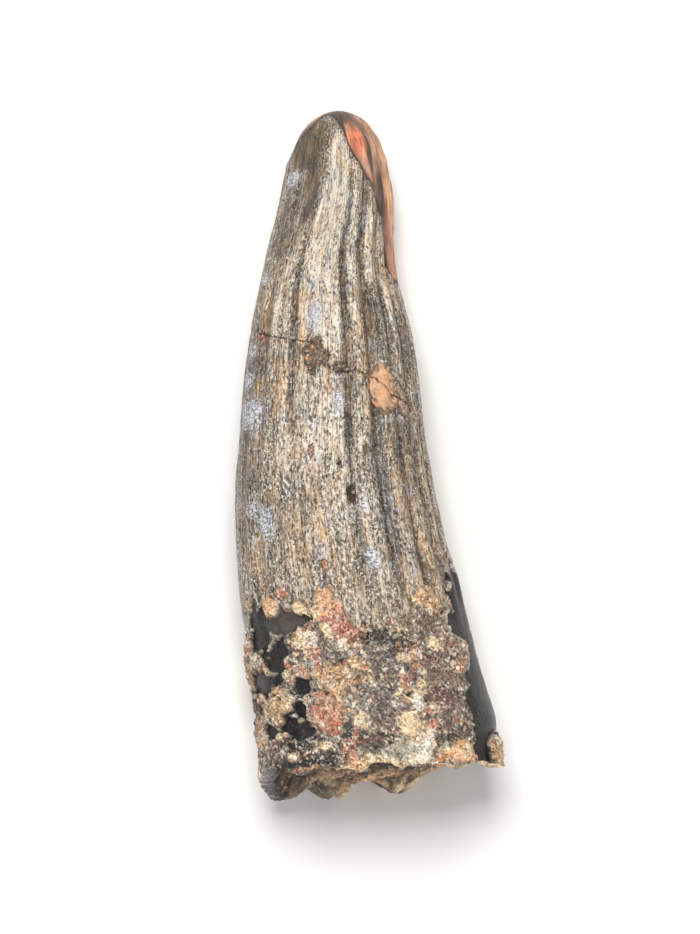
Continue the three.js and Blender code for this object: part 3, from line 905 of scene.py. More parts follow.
def side_relief(side, zones, sizes):
    """Height of the surface over the plain section, in mm: flutes and fine ridges on the enamel, its
    worn edge, chips and crack, and the crust with its grains and lumps."""
    on_enamel = smoothstep(zones.crusted, 0.1, -0.2) * smoothstep(zones.worn, 0.1, -0.2)
    angle = np.radians(flute_angle(side.angle, side.y))
    lengthwise = np.stack([np.cos(angle), np.sin(angle), side.y / FIBRE_RADIUS / RIDGE_STRETCH], axis=-1)
    lengthwise *= FIBRE_RADIUS
    ridges = 0.05 * noise(lengthwise, 0.42, 41) + 0.07 * noise(lengthwise, 1.0, 42)
    swell = 0.1 * layered_noise(side.point, 4.0, 2, 43) + 0.03 * noise(side.point, 0.8, 45)
    relief = swell - 1.35 * sizes.flute_depth * zones.groove + on_enamel * ridges

    enamel_step = sizes.enamel_thickness / MM
    dentine_ridges = 0.12 * noise(lengthwise * (1, 1, 2), 0.9, 46) + 0.06 * noise(side.point, 0.9, 47)
    worn = smoothstep(zones.worn, -0.06, 0.22)
    right_side = bell(side.angle, 8, 38)
    left_side = bell(side.angle, 178, 28)
    relief += worn * (dentine_ridges - enamel_step * (1 - 0.8 * right_side))
    relief += 0.42 * right_side * smoothstep(side.y, -8, -11) * smoothstep(side.y, -23.5, -21)
    relief -= 0.24 * left_side * smoothstep(side.y, -13, -15) * smoothstep(side.y, -23, -20)

    for spot in CHIP_SPOTS:
        inside = smoothstep(spot_reach(spot, side, 0) + 0.5 * np.minimum(zones.chipped, 0), -0.1, 0.12)
        relief += spot.height * inside
    relief -= 0.07 * smoothstep(np.abs(zones.crack), 0.22, 0.0)

    dome, _ = grains(side.point, 0.62, 51)
    small_dome, _ = grains(side.point, 0.34, 61)
    lumps = layered_noise(side.point, 1.7, 3, 71)
    crumbs = 0.05 * (dome - 0.7) + 0.1 * (small_dome - 0.7) + 0.16 * layered_noise(side.point, 0.6, 2, 75)
    crust_height = 0.75 * sizes.crust_thickness / MM + 0.3 * lumps + crumbs
    covered = smoothstep(zones.crusted / (1 + 5 * thin_crust_share(side.angle)), -0.05, 0.3)
    uncovered = smoothstep(zones.bare, -0.08, 0.12)
    relief += covered * (1 - uncovered) * np.maximum(crust_height, 0.06)
    relief -= uncovered * 0.12
    for spot in CRUST_SPOTS:
        bulge = np.sqrt(np.clip(spot_reach(spot, side, 0.1 * lumps) / min(spot.around, spot.along), 0, 1))
        relief += spot.height * bulge * (1 - uncovered)
    return relief


def side_colours(side, zones, shades):
    """Body colour of each point of the side: the enamel with its soft areas, then the dentine, the
    chips, the crust with its stains, and the bare root, each laid over what is under it. Painted
    shade darkens the grooves, the enamel's broken edge and the chips' edges, and painted highlights
    lighten the ridges."""
    blur = 0.35 * layered_noise(side.point, 1.3, 3, 81)
    _, chunk = grains(side.point, 0.42, 83)
    _, small_chunk = grains(side.point, 0.22, 85)
    crumbled = blur + 0.5 * (chunk - 0.5) + 0.3 * (small_chunk - 0.5)
    colour = np.broadcast_to(shades["enamel"], (*side.y.shape, 3)).copy()

    def lay(shade, share):
        colour[...] += (shade - colour) * np.clip(share, 0, 1)[..., None]

    def lay_spots(spots, strength, mask=1.0, edge=0.35, ragged=blur):
        for spot in spots:
            reach = spot_reach(spot, side, ragged) / min(spot.around, spot.along)
            lay(shades[spot.colour], strength * smoothstep(reach, -edge, edge) * mask)

    # The left side and the underside turned browner and darker: partly the enamel's own brown, partly
    # painted shade on the side away from the light.
    lay(shades["sepia"], 0.9 * smoothstep(side.angle, 112, 145) * smoothstep(side.angle, 330, 250))
    lay_spots(ENAMEL_AREAS, 0.75, edge=0.6)
    # Painted shade in the grooves of the flutes.
    lay(shades["soot_and_shade"], 3.2 * np.clip(zones.groove - 0.03, 0, 0.3))
    # Painted highlight on the ridges and along the top of the crown, by the highlight strength.
    lay(shades["ivory"], 1.25 * np.clip(zones.pale - 0.45, 0, 1))
    # Painted shade along the enamel's broken edge: a dark line where the step down to the dentine falls in
    # shadow.
    enamel_edge = smooth_around(ENAMEL_EDGE)
    slope = (enamel_edge(side.angle + 1) - enamel_edge(side.angle - 1)) / np.radians(2) / side.radius.clip(1)
    edge_distance = zones.worn / np.hypot(1, slope)
    lay(shades["soot_and_shade"], 0.9 * smoothstep(edge_distance, -0.42, -0.15))

    worn = past_edge(zones.worn)
    lay(shades["peach"], worn)
    lay_spots(TIP_AREAS, 0.9, worn)
    # Painted shade on the dentine beside the step of the enamel's edge.
    lay(shades["soot_and_shade"], 0.85 * worn * smoothstep(edge_distance, 0.42, 0.2))
    chipped = past_edge(zones.chipped)
    lay(shades["chip"], chipped)
    lay_spots(CHIP_SPOTS, 1.0, chipped, 0.1, crumbled)
    # Painted shade: a dark line round the edge of each chip, where its wall is.
    lay(shades["soot_and_shade"], 0.6 * smoothstep(np.abs(zones.chipped), 0.16, 0.04))

    thin_crust = thin_crust_share(side.angle)
    lay(shades["grey"], 0.5 * thin_crust * smoothstep(zones.crusted, -2.6, 0.2))
    crusted = past_edge(zones.crusted)
    lay(shades["crust"], crusted * (1 - 0.7 * thin_crust * smoothstep(zones.crusted, 2.2, 0)))
    for shade, share, size, low, high, seed in CRUST_PATCHES:
        patches = layered_noise(side.point, size, 3, seed)
        lay(shades[shade], share * crusted * smoothstep(patches, low, high))
    lay_spots(CRUST_SPOTS, 0.78, crusted, 0.12, crumbled)
    lay(shades["jet"], 0.5 * crusted * smoothstep(small_chunk, 0.9, 0.95))
    lay(shades["pale"], 0.55 * crusted * smoothstep(small_chunk, 0.09, 0.06))

    lace = smoothstep(zones.bare, -0.24, -0.12) * smoothstep(chunk, 0.35, 0.6)
    lay(shades["pale"], 0.4 * crusted * lace)
    bare = past_edge(zones.bare) * smoothstep(side.y, -8.6, -9.6)
    lay(shades["slate"], bare)
    lay_spots(BARE_SPOTS, 1.0, bare, 0.25)
    return colour


def end_grid(rim, shades):
    """The broken end: straight lines from the rim to the middle of the root, pushed out along y. The
    wall of the root is level with the rim, and the filling inside it is lumpy, set back at the top
    and standing out lower down. Its colours hold painted shade under the rim and in the hollows of
    the filling, and painted highlights on the tops of its lumps. Returns the points, the mm inside
    the rim and the colours."""
    share = 1 - (np.arange(1, END_ROWS + 1) / (END_ROWS + 1)) ** 1.25
    share = share[::-1, None]
    middle_x, middle_z, half_width, half_depth = section(np.array(END_MIDDLE_Y))
    x = middle_x + (rim[..., 0] - middle_x) * share
    z = middle_z + (rim[..., 2] - middle_z) * share
    flat = np.stack([x, np.zeros_like(x), z], axis=-1)
    low = smoothstep(z, 9, 2)
    left = smoothstep(x, 7, 3)
    dome, _ = grains(flat, 2.3, 101)
    small_dome, owner = grains(flat, 0.7, 111)
    lumps = 1.2 * (dome - 0.65) + 0.3 * (small_dome - 0.7) + 0.35 * (owner - 0.5)
    lumps += 0.35 * layered_noise(flat, 1.2, 3, 121)
    filling = FILLING_Y - 1.4 * low * left - lumps * (0.6 + 0.3 * low)
    rough_wall = rim[..., 1] + 0.45 * layered_noise(flat, 0.9, 3, 131) + 0.12 * (small_dome - 0.7)
    wall_edge = 0.84 - 0.26 * smoothstep(z, 6, 1) + 0.05 * noise(flat, 2.0, 141)
    wall = smoothstep(share, wall_edge - 0.05, wall_edge + 0.06)
    y = filling + (rough_wall - filling) * wall
    y = rim[..., 1] + (y - rim[..., 1]) * smoothstep(share, 1.0, 0.97)

    tone = layered_noise(flat, 1.6, 3, 151)
    colour = np.broadcast_to(shades["marrow"], (*x.shape, 3)).copy()
    for shade, amount in (
        (shades["umber"], smoothstep(tone, -0.05, 0.25)),
        (shades["apricot"], 0.8 * smoothstep(tone, -0.15, -0.4)),
        (shades["maroon"], 0.6 * smoothstep(layered_noise(flat, 1.5, 2, 161), 0.05, 0.4)),
        (shades["jet"], 0.75 * smoothstep(layered_noise(flat, 1.1, 3, 165), 0.12, 0.3)),
        (shades["cream"], 0.85 * wall * smoothstep(layered_noise(flat, 1.3, 2, 169), -0.1, 0.2)),
        # Painted shade on the set-back parts of the filling, under the rim.
        (shades["soot_and_shade"], 0.8 * (1 - wall) * smoothstep(y, -25.4, -24.6)),
        # Painted shade in the hollows between the lumps.
        (shades["pit"], 0.7 * (1 - wall) * smoothstep(lumps, 0.05, -0.35)),
        (shades["slate"], 0.8 * wall * smoothstep(x, -1, -3)),
        # Painted highlights on the tops of the lumps.
        (shades["tan"], 0.8 * (1 - wall) * smoothstep(lumps, 0.1, 0.45) * smoothstep(owner, 0.3, 0.5)),
        (shades["slate"], 0.6 * smoothstep(x, -6.0, -7.2) * smoothstep(tone, -0.3, 0.0)),
        (shades["frost"], 0.2 * smoothstep(x, -6.4, -7.4)),
        # Painted shade just inside the wall, under the rim's lip.
        (shades["jet"], 0.8 * (1 - wall) * smoothstep(share, 0.72, 0.8)),
    ):
        colour += (shade - colour) * amount[..., None]
    inside = (1 - share) * (half_width + half_depth) / 2 + np.zeros_like(x)
    return np.stack([x, y, z], axis=-1), inside, colour


def grid_faces(rows, columns):
    """Quads of a grid that is closed around, with a fan to one extra point at each end. The points
    are counted row by row, then the point at the first row, then the one at the last."""
    row = np.arange(rows - 1)[:, None] * columns
    here = np.arange(columns)
    beyond = (here + 1) % columns
    quads = np.stack([row + here, row + here + columns, row + beyond + columns, row + beyond], axis=-1)
    first = rows * columns
    top = (rows - 1) * columns
    start_fan = np.stack([np.full(columns, first), here, beyond], axis=-1)
    end_fan = np.stack([np.full(columns, first + 1), top + beyond, top + here], axis=-1)
    return [*quads.reshape(-1, 4).tolist(), *start_fan.tolist(), *end_fan.tolist()]


def frame_shift(points):
    """What to add to bring points in mm into the frame: the tip, the widest sides and the lowest
    point go where the CAD tooth has them."""
    low, high = points.min(axis=0), points.max(axis=0)
    x = (TOOTH_LOW.x + TOOTH_HIGH.x) / 2 / MM - (low[0] + high[0]) / 2
    return np.array([x, TOOTH_HIGH.y / MM - high[1], TOOTH_LOW.z / MM - low[2]])


def add_mesh(name, points, faces, material):
    """A mesh object from points in mm in the frame, with smooth shading."""
    mesh = bpy.data.meshes.new(name)
    mesh.from_pydata((points * MM).tolist(), [], faces)
    mesh.polygons.foreach_set("use_smooth", np.ones(len(mesh.polygons), bool))
    mesh.materials.append(material)
    mesh.update()
    piece = bpy.data.objects.new(name, mesh)
    bpy.context.scene.collection.objects.link(piece)
    return piece


def store(piece, name, kind, values):
    """Keeps one value, vector or colour for each point of the piece as a named attribute."""
    attribute = piece.data.attributes.new(name, kind, "POINT")
    field = {"FLOAT": "value", "FLOAT_VECTOR": "vector", "FLOAT_COLOR": "color"}[kind]
    attribute.data.foreach_set(field, np.ascontiguousarray(values, np.float32).ravel())


class Wiring:
    """Short calls that add a node to a tree and link or set its inputs."""

    def __init__(self, tree):
        self.tree = tree

    def plug(self, socket, value):
        """Links another node's output to the socket, or sets the socket to a constant."""
        if isinstance(value, bpy.types.NodeSocket):
            self.tree.links.new(value, socket)
        else:
            socket.default_value = value

    def add(self, kind, inputs=None, **settings):
        """A node with its settings and inputs."""
        node = self.tree.nodes.new(kind)
        for name, value in settings.items():
            setattr(node, name, value)
        for name, value in (inputs or {}).items():
            self.plug(node.inputs[name], value)
        return node

    def math(self, operation, first, second=0.0, third=0.0):
        """The result of an operation on up to three values."""
        return self.add("ShaderNodeMath", {0: first, 1: second, 2: third}, operation=operation).outputs[0]

    def times(self, first, second):
        """The product of two values."""
        return self.math("MULTIPLY", first, second)

    def spread(self, value, low, high, start, end, steps="LINEAR"):
        """The value's place between low and high as the same place between start and end."""
        inputs = {"Value": value, "From Min": low, "From Max": high, "To Min": start, "To Max": end}
        return self.add("ShaderNodeMapRange", inputs, interpolation_type=steps).outputs["Result"]

    def step(self, value, low, high, start=0.0, end=1.0):
        """The same by a smooth step."""
        return self.spread(value, low, high, start, end, "SMOOTHSTEP")

    def mix(self, share, first, second, blend="MIX"):
        """The first colour with the second laid over it by its share."""
        inputs = {0: share, 6: first, 7: second}
        return self.add("ShaderNodeMix", inputs, data_type="RGBA", blend_type=blend).outputs[2]

    def blend(self, share, first, second):
        """The first value, moved to the second by its share."""
        return self.add("ShaderNodeMix", {0: share, 2: first, 3: second}, data_type="FLOAT").outputs[0]

    def scaled(self, vector, factor):
        """A vector or colour times a value."""
        return self.add("ShaderNodeVectorMath", {0: vector, "Scale": factor}, operation="SCALE").outputs[0]

    def stretched(self, vector, x, y, z):
        """A vector with each part multiplied by its own value."""
        combined = self.add("ShaderNodeCombineXYZ", {0: x, 1: y, 2: z}).outputs[0]
        return self.add("ShaderNodeVectorMath", {0: vector, 1: combined}, operation="MULTIPLY").outputs[0]

    def shifted(self, vector, offset):
        """A vector plus a constant one, to reach another part of a noise."""
        return self.add("ShaderNodeVectorMath", {0: vector, 1: offset}, operation="ADD").outputs[0]

    def noise(self, vector, scale, detail=2.0, roughness=0.5, distortion=0.0):
        """Smooth noise from 0 to 1, with scale as the number of lumps in a unit of the vector."""
        names = ("Vector", "Scale", "Detail", "Roughness", "Distortion")
        inputs = dict(zip(names, (vector, scale, detail, roughness, distortion)))
        return self.add("ShaderNodeTexNoise", inputs).outputs[0]

    def cells(self, vector, scale, feature="F1"):
        """The node of a cell pattern, with scale as the number of cells in a unit of the vector."""
        return self.add("ShaderNodeTexVoronoi", {"Vector": vector, "Scale": scale}, feature=feature)

    def placed(self, tree, inputs):
        """The outputs of a node group."""
        return self.add("ShaderNodeGroup", inputs, node_tree=tree).outputs


def new_group(name, inputs, outputs):
    """An empty shader node group with the named sockets. A value of None makes a vector socket, a
    number a value socket with that default, and a colour a colour socket."""
    tree = bpy.data.node_groups.new(name, "ShaderNodeTree")
    for side, sockets in (("INPUT", inputs), ("OUTPUT", outputs)):
        for socket_name, value in sockets.items():
            kind = "Vector" if value is None else "Float" if isinstance(value, (int, float)) else "Color"
            socket = tree.interface.new_socket(socket_name, in_out=side, socket_type=f"NodeSocket{kind}")
            if value is not None:
                socket.default_value = value
    given = tree.nodes.new("NodeGroupInput").outputs
    result = tree.nodes.new("NodeGroupOutput").inputs
    return tree, Wiring(tree), given, result


def streaks(wires, groups, fibre, width, stretch):
    """The value of the streak group for streaks of this width in mm."""
    inputs = {"Fibre": fibre, "Width": width, "Stretch": stretch}
    return wires.placed(groups["streaks"], inputs)["Value"]


def winding_lines(wires, groups, fibre, width, stretch, line, waviness):
    """The mask of the group of winding lines."""
    inputs = {"Fibre": fibre, "Width": width, "Stretch": stretch, "Line": line, "Waviness": waviness}
    return wires.placed(groups["crinkle"], inputs)["Mask"]


def specks_over(wires, groups, vector, size, cover, edge=0.03):
    """The mask of the speckle group for specks of this size in mm."""
    inputs = {"Vector": vector, "Size": size, "Cover": cover, "Edge": edge}
    return wires.placed(groups["speckle"], inputs)["Mask"]


def mottled(wires, groups, colour, vector, size, depth):
    """The colour after the mottle group, with patches of this size in mm."""
    inputs = {"Color": colour, "Vector": vector, "Size": size, "Depth": depth}
    return wires.placed(groups["mottle"], inputs)["Color"]


def with_alpha(shade):
    """A colour with full opacity, as shader sockets want it."""
    return (*shade, 1.0)


WHITE = (1.0, 1.0, 1.0, 1.0)
# Colours of painted glints: white specks on the enamel, and light grains and lines on the sand.
SPARKLE = (0.88, 0.86, 0.8, 1.0)
GLINT = (0.82, 0.74, 0.66, 1.0)
FINISH = {"Color": WHITE, "Roughness": 0.5, "Height": 0.0}


def speckle_group():
    """Specks with soft edges: noise of the given size in mm, cut at a level that falls as the cover
    goes from 0, no specks, to 1, all over."""
    tree, wires, given, result = new_group(
        "Grain speckle", {"Vector": None, "Size": 0.3, "Cover": 0.5, "Edge": 0.03}, {"Mask": 0.0}
    )
    scale = wires.math("DIVIDE", 1.0, given["Size"])
    value = wires.noise(given["Vector"], scale, 2.5, 0.6)
    level = wires.spread(given["Cover"], 0.0, 1.0, 0.72, 0.28)
    low = wires.math("SUBTRACT", level, given["Edge"])
    high = wires.math("ADD", level, given["Edge"])
    wires.plug(result["Mask"], wires.step(value, low, high))
    return tree


def streak_group():
    """Streaks along the tooth: noise at the fibre points, with the given width in mm across and the
    width times the stretch along."""
    tree, wires, given, result = new_group(
        "Lengthwise streaks", {"Fibre": None, "Width": 0.4, "Stretch": 8.0, "Waviness": 0.0}, {"Value": 0.5}
    )
    across = wires.math("DIVIDE", 1.0, given["Width"])
    along = wires.math("DIVIDE", across, given["Stretch"])
    vector = wires.stretched(given["Fibre"], across, across, along)
    wires.plug(result["Value"], wires.noise(vector, 1.0, 2.0, 0.55, given["Waviness"]))
    return tree


def mottle_group():
    """A body colour that wanders: lighter and darker by one noise, warmer by another."""
    tree, wires, given, result = new_group(
        "Mottled tint", {"Color": WHITE, "Vector": None, "Size": 1.5, "Depth": 0.3}, {"Color": WHITE}
    )
    scale = wires.math("DIVIDE", 1.0, given["Size"])
    tone = wires.noise(given["Vector"], scale, 3.0, 0.6)
    low = wires.math("SUBTRACT", 1.0, given["Depth"])
    high = wires.math("ADD", 1.0, given["Depth"])
    level = wires.spread(tone, 0.3, 0.7, low, high)
    apart = wires.shifted(given["Vector"], (17.0, 5.0, 9.0))
    warmth = wires.step(wires.noise(apart, scale, 2.0), 0.45, 0.65)
    toned = wires.scaled(given["Color"], level)
    warm = wires.mix(warmth, toned, wires.mix(1.0, toned, (1.12, 0.98, 0.84, 1.0), "MULTIPLY"))
    wires.plug(result["Color"], warm)
    return tree


def crinkle_group():
    """Thin winding lines: where a noise, drawn out along the tooth by the stretch, crosses its middle
    value. The width is that of the noise in mm, and a larger line share makes thicker lines."""
    inputs = {"Fibre": None, "Width": 0.5, "Stretch": 2.0, "Line": 0.03, "Waviness": 0.0}
    tree, wires, given, result = new_group("Winding lines", inputs, {"Mask": 0.0})
    across = wires.math("DIVIDE", 1.0, given["Width"])
    along = wires.math("DIVIDE", across, given["Stretch"])
    vector = wires.stretched(given["Fibre"], across, across, along)
    value = wires.noise(vector, 1.0, 1.5, 0.5, given["Waviness"])
    distance = wires.math("ABSOLUTE", wires.math("SUBTRACT", value, 0.5))
    full = wires.times(given["Line"], 0.3)
    wires.plug(result["Mask"], wires.step(distance, given["Line"], full))
    return tree


def enamel_group(groups, shades):
    """Fluted enamel: the body colour in broad streaks, warm and cool, with thin dark lines along the
    tooth and a bluish film in patches. Short winding light lines like crinkled foil, light flecks and
    white specks in clusters are painted glints, and where Pale is high the body is lighter as a painted
    highlight."""
    tree, wires, given, result = new_group(
        "Enamel finish", {"Position": None, "Fibre": None, "Tint": WHITE, "Pale": 0.5, "Frost": 0.0}, FINISH
    )
    fibre = given["Fibre"]
    broad = streaks(wires, groups, fibre, 0.6, 8.0)
    dark_lines = winding_lines(wires, groups, fibre, 0.36, 10.0, 0.05, 0.2)
    ivory_lines = winding_lines(wires, groups, fibre, 0.3, 2.6, 0.06, 0.4)
    grain = streaks(wires, groups, fibre, 0.17, 2.0)
    warmth = wires.step(streaks(wires, groups, fibre, 0.9, 2.6), 0.5, 0.62)
    apart = wires.shifted(fibre, (13.0, 29.0, 5.0))
    coolness = wires.step(streaks(wires, groups, apart, 0.8, 2.2), 0.54, 0.64)
    warm_share = wires.times(warmth, 0.5)
    light = wires.mix(warm_share, with_alpha(shades["ivory"]), with_alpha(shades["apricot"]))
    light = wires.mix(wires.times(coolness, 0.6), light, with_alpha(shades["frost"]))
    body = mottled(wires, groups, given["Tint"], given["Position"], 1.2, 0.25)
    body = wires.mix(wires.times(warmth, 0.3), body, with_alpha(shades["gold"]))
    body = wires.mix(wires.times(coolness, 0.5), body, with_alpha(shades["steel"]))
    bands = streaks(wires, groups, fibre, 1.3, 9.0)
    band_level = wires.spread(bands, 0.35, 0.65, 0.7, 1.25)
    level = wires.times(wires.spread(broad, 0.32, 0.68, 0.5, 1.4), band_level)
    # Where Pale is high the body is lighter, as a painted highlight.
    level = wires.times(level, wires.spread(given["Pale"], 0, 0.35, 0.78, 1.0))
    level = wires.blend(wires.spread(given["Pale"], -0.4, 0, 0.6, 0), level, 0.8)
    colour = wires.scaled(body, level)
    depth = wires.spread(given["Pale"], -0.4, 0.35, 0.1, 0.8)
    pits = wires.times(wires.step(grain, 0.46, 0.38), depth)
    colour = wires.mix(pits, colour, with_alpha(shades["soot_and_shade"]))
    # Light flecks and winding lines, laid by the strength of Pale: painted glints.
    flecks = wires.math("MAXIMUM", wires.step(grain, 0.53, 0.6), wires.times(ivory_lines, 0.6))
    lit = wires.times(flecks, wires.spread(given["Pale"], -0.2, 1, 0.05, 1.0))
    colour = wires.mix(lit, colour, light)
    line_share = wires.times(dark_lines, wires.spread(given["Pale"], 0, 1, 0.7, 0.35))
    colour = wires.mix(line_share, colour, with_alpha(shades["soot_and_shade"]))
    # White specks in clusters: painted glints.
    specks = specks_over(wires, groups, given["Position"], 0.17, 0.28)
    clusters = wires.step(wires.noise(given["Position"], 0.7, 3.0, 0.6), 0.38, 0.56, 0.2, 1.0)
    sparkle = wires.times(specks, wires.spread(given["Pale"], -0.3, 0.5, 0.03, 0.9))
    sparkle = wires.times(sparkle, clusters)
    colour = wires.mix(sparkle, colour, SPARKLE)
    film_cover = wires.times(given["Frost"], 0.5)
    film = specks_over(wires, groups, fibre, 0.17, film_cover, 0.06)
    haze = wires.times(given["Frost"], 0.3)
    colour = wires.mix(haze, colour, with_alpha(shades["steel"]))
    film = wires.times(film, 0.8)
    colour = wires.mix(film, colour, with_alpha(shades["frost"]))
    wires.plug(result["Color"], colour)
    wires.plug(result["Roughness"], wires.spread(grain, 0.35, 0.65, 0.46, 0.2))
    height = wires.math("MULTIPLY_ADD", broad, 0.12, wires.times(dark_lines, -0.03))
    wires.plug(result["Height"], wires.math("MULTIPLY_ADD", grain, 0.1, height))
    return tree


def dentine_group(groups, shades):
    """Bare dentine: smooth lengthwise streaks with thin dark veins between them."""
    tree, wires, given, result = new_group(
        "Dentine finish", {"Position": None, "Fibre": None, "Tint": WHITE}, FINISH
    )
    fibre = given["Fibre"]
    broad = streaks(wires, groups, fibre, 0.8, 5.0)
    thin = streaks(wires, groups, fibre, 0.35, 5.0)
    body = mottled(wires, groups, given["Tint"], given["Position"], 1.0, 0.2)
    colour = wires.scaled(body, wires.spread(broad, 0.35, 0.65, 0.75, 1.2))
    veins = wires.times(wires.step(thin, 0.46, 0.36), 0.5)
    colour = wires.mix(veins, colour, with_alpha(shades["umber"]))
    wires.plug(result["Color"], colour)
    wires.plug(result["Roughness"], wires.spread(thin, 0.3, 0.7, 0.62, 0.45))
    wires.plug(result["Height"], wires.math("MULTIPLY_ADD", thin, 0.06, wires.times(broad, 0.06)))
    return tree


def sand_group(groups, shades):
    """Cemented sand: the body colour broken up by fine lighter and darker grains, with dark pores. A few
    grains and short winding lines carry painted glints, light and a little glossier. Contrast sets how
    strongly."""
    tree, wires, given, result = new_group(
        "Sand finish", {"Position": None, "Tint": WHITE, "Grain": 0.3, "Contrast": 1.0}, FINISH
    )
    scale = wires.math("DIVIDE", 1.0, given["Grain"])
    cells = wires.cells(given["Position"], scale)
    random = wires.add("ShaderNodeSeparateColor", {0: cells.outputs["Color"]}).outputs
    fine = wires.noise(given["Position"], wires.times(scale, 1.3), 2.0, 0.6)
    body = mottled(wires, groups, given["Tint"], given["Position"], 0.7, 0.25)
    level = wires.spread(random[0], 0.0, 1.0, 0.6, 1.4)
    level = wires.times(level, wires.spread(fine, 0.3, 0.7, 0.5, 1.5))
    colour = wires.scaled(body, wires.blend(given["Contrast"], 1.0, level))
    crinkle = winding_lines(wires, groups, given["Position"], 0.55, 1.0, 0.045, 0.5)
    # Painted glints on a few grains and along the winding lines.
    light = wires.math("MAXIMUM", wires.step(random[1], 0.87, 0.91), wires.times(crinkle, 0.28))
    light = wires.times(light, wires.step(fine, 0.44, 0.54, 0.1, 0.85))
    light = wires.times(light, given["Contrast"])
    glint = wires.mix(0.6, wires.scaled(given["Tint"], 1.5), GLINT)
    colour = wires.mix(light, colour, glint)
    pores = wires.times(wires.step(fine, 0.43, 0.36), given["Contrast"])
    colour = wires.mix(wires.times(pores, 0.7), colour, with_alpha(shades["soot_and_shade"]))
    wires.plug(result["Color"], colour)
    wires.plug(result["Roughness"], wires.spread(light, 0.0, 0.85, 0.72, 0.35))
    height = wires.math("MULTIPLY_ADD", fine, 0.12, wires.times(cells.outputs["Distance"], -0.08))
    strength = wires.spread(given["Contrast"], 0, 1, 0.4, 1.0)
    wires.plug(result["Height"], wires.times(height, strength))
    return tree


def root_group(groups, shades):
    """Bare root: dark and glossy, with a few thin cracks and specks of pale dust."""
    tree, wires, given, result = new_group("Root finish", {"Position": None, "Tint": WHITE}, FINISH)
    body = mottled(wires, groups, given["Tint"], given["Position"], 0.8, 0.45)
    edge = wires.cells(given["Position"], 0.4, "DISTANCE_TO_EDGE").outputs["Distance"]
    crack = wires.step(edge, 0.012, 0.002)
    dust = specks_over(wires, groups, given["Position"], 0.16, 0.24)
    pale = wires.math("MAXIMUM", wires.times(crack, 0.25), wires.times(dust, 0.25))
    wires.plug(result["Color"], wires.mix(pale, body, with_alpha(shades["crust"])))
    wires.plug(result["Roughness"], wires.spread(pale, 0.0, 0.25, 0.32, 0.65))
    grain = wires.noise(given["Position"], 3.5, 3.0, 0.7)
    crack_height = wires.times(crack, -0.06)
    wires.plug(result["Height"], wires.math("MULTIPLY_ADD", grain, 0.09, crack_height))
    return tree


def attribute(wires, name, field="Fac"):
    """A value, vector or colour stored on the piece's points."""
    return wires.add("ShaderNodeAttribute", attribute_name=name, attribute_type="GEOMETRY").outputs[field]


def new_material(name):
    """A material with only a Principled shader and its output. Returns it, its wires and shader."""
    material = bpy.data.materials.new(name)
    material.use_nodes = True
    shader = material.node_tree.nodes["Principled BSDF"]
    return material, Wiring(material.node_tree), shader


def position_in_mm(wires):
    """Object coordinates in millimetres."""
    return wires.scaled(wires.add("ShaderNodeTexCoord").outputs["Object"], 1 / MM)


def finish_surface(wires, shader, finish):
    """Wires a finish's colour, roughness and height in mm into the shader."""
    colour, roughness, height = finish
    wires.plug(shader.inputs["Base Color"], colour)
    wires.plug(shader.inputs["Roughness"], roughness)
    inputs = {"Height": height, "Distance": MM, "Strength": 1.0}
    wires.plug(shader.inputs["Normal"], wires.add("ShaderNodeBump", inputs).outputs["Normal"])


def tooth_material(groups, shades):
    """The whole tooth: each finish is laid over the last where its zone's distance passes its edge,
    with a little fine noise so that the edges stay crisp and uneven."""
    material, wires, shader = new_material("fossil tooth")
    position = position_in_mm(wires)
    fibre = attribute(wires, "fibre", "Vector")
    tint = attribute(wires, "tint", "Color")
    jitter = wires.spread(wires.noise(position, 5.0, 2.0), 0.3, 0.7, -0.06, 0.06)

    def zone(name, width=0.04):
        distance = wires.math("ADD", attribute(wires, name), jitter)
        return wires.step(distance, -width, width)

    enamel_inputs = {
        "Position": position,
        "Fibre": fibre,
        "Tint": tint,
        "Pale": attribute(wires, "pale"),
        "Frost": attribute(wires, "frost"),
    }
    enamel = wires.placed(groups["enamel"], enamel_inputs)
    dentine = wires.placed(groups["dentine"], {"Position": position, "Fibre": fibre, "Tint": tint})
    contrast = wires.spread(attribute(wires, "pale"), 0.0, 1.0, 1.0, 0.2)
    sand_inputs = {"Position": position, "Tint": tint}
    matrix = wires.placed(groups["sand"], {**sand_inputs, "Grain": 0.26, "Contrast": 0.65})
    sand = wires.placed(groups["sand"], {**sand_inputs, "Grain": 0.2, "Contrast": contrast})
    root = wires.placed(groups["root"], {"Position": position, "Tint": tint})

    colour, roughness, height = (enamel[name] for name in FINISH)
    crack = wires.math("ABSOLUTE", wires.math("ADD", attribute(wires, "crack"), jitter))
    broken = wires.step(wires.noise(position, 0.8, 2.0), 0.38, 0.55, 0.25, 0.9)
    crack_line = wires.times(wires.step(crack, 0.08, 0.03), broken)
    chipped = zone("chipped")
    colour = wires.mix(chipped, colour, sand["Color"])
    roughness = wires.blend(chipped, roughness, sand["Roughness"])
    height = wires.blend(chipped, height, sand["Height"])
    colour = wires.mix(crack_line, colour, with_alpha(shades["pit"]))
    height = wires.math("MULTIPLY_ADD", crack_line, -0.08, height)
    for share, finish in (
        (zone("worn"), dentine),
        (zone("crusted"), sand),
        (zone("bare"), root),
        (zone("inside"), matrix),
    ):
        colour = wires.mix(share, colour, finish["Color"])
        roughness = wires.blend(share, roughness, finish["Roughness"])
        height = wires.blend(share, height, finish["Height"])
    finish_surface(wires, shader, (colour, roughness, height))
    shader.inputs["Specular IOR Level"].default_value = 0.38
    return material


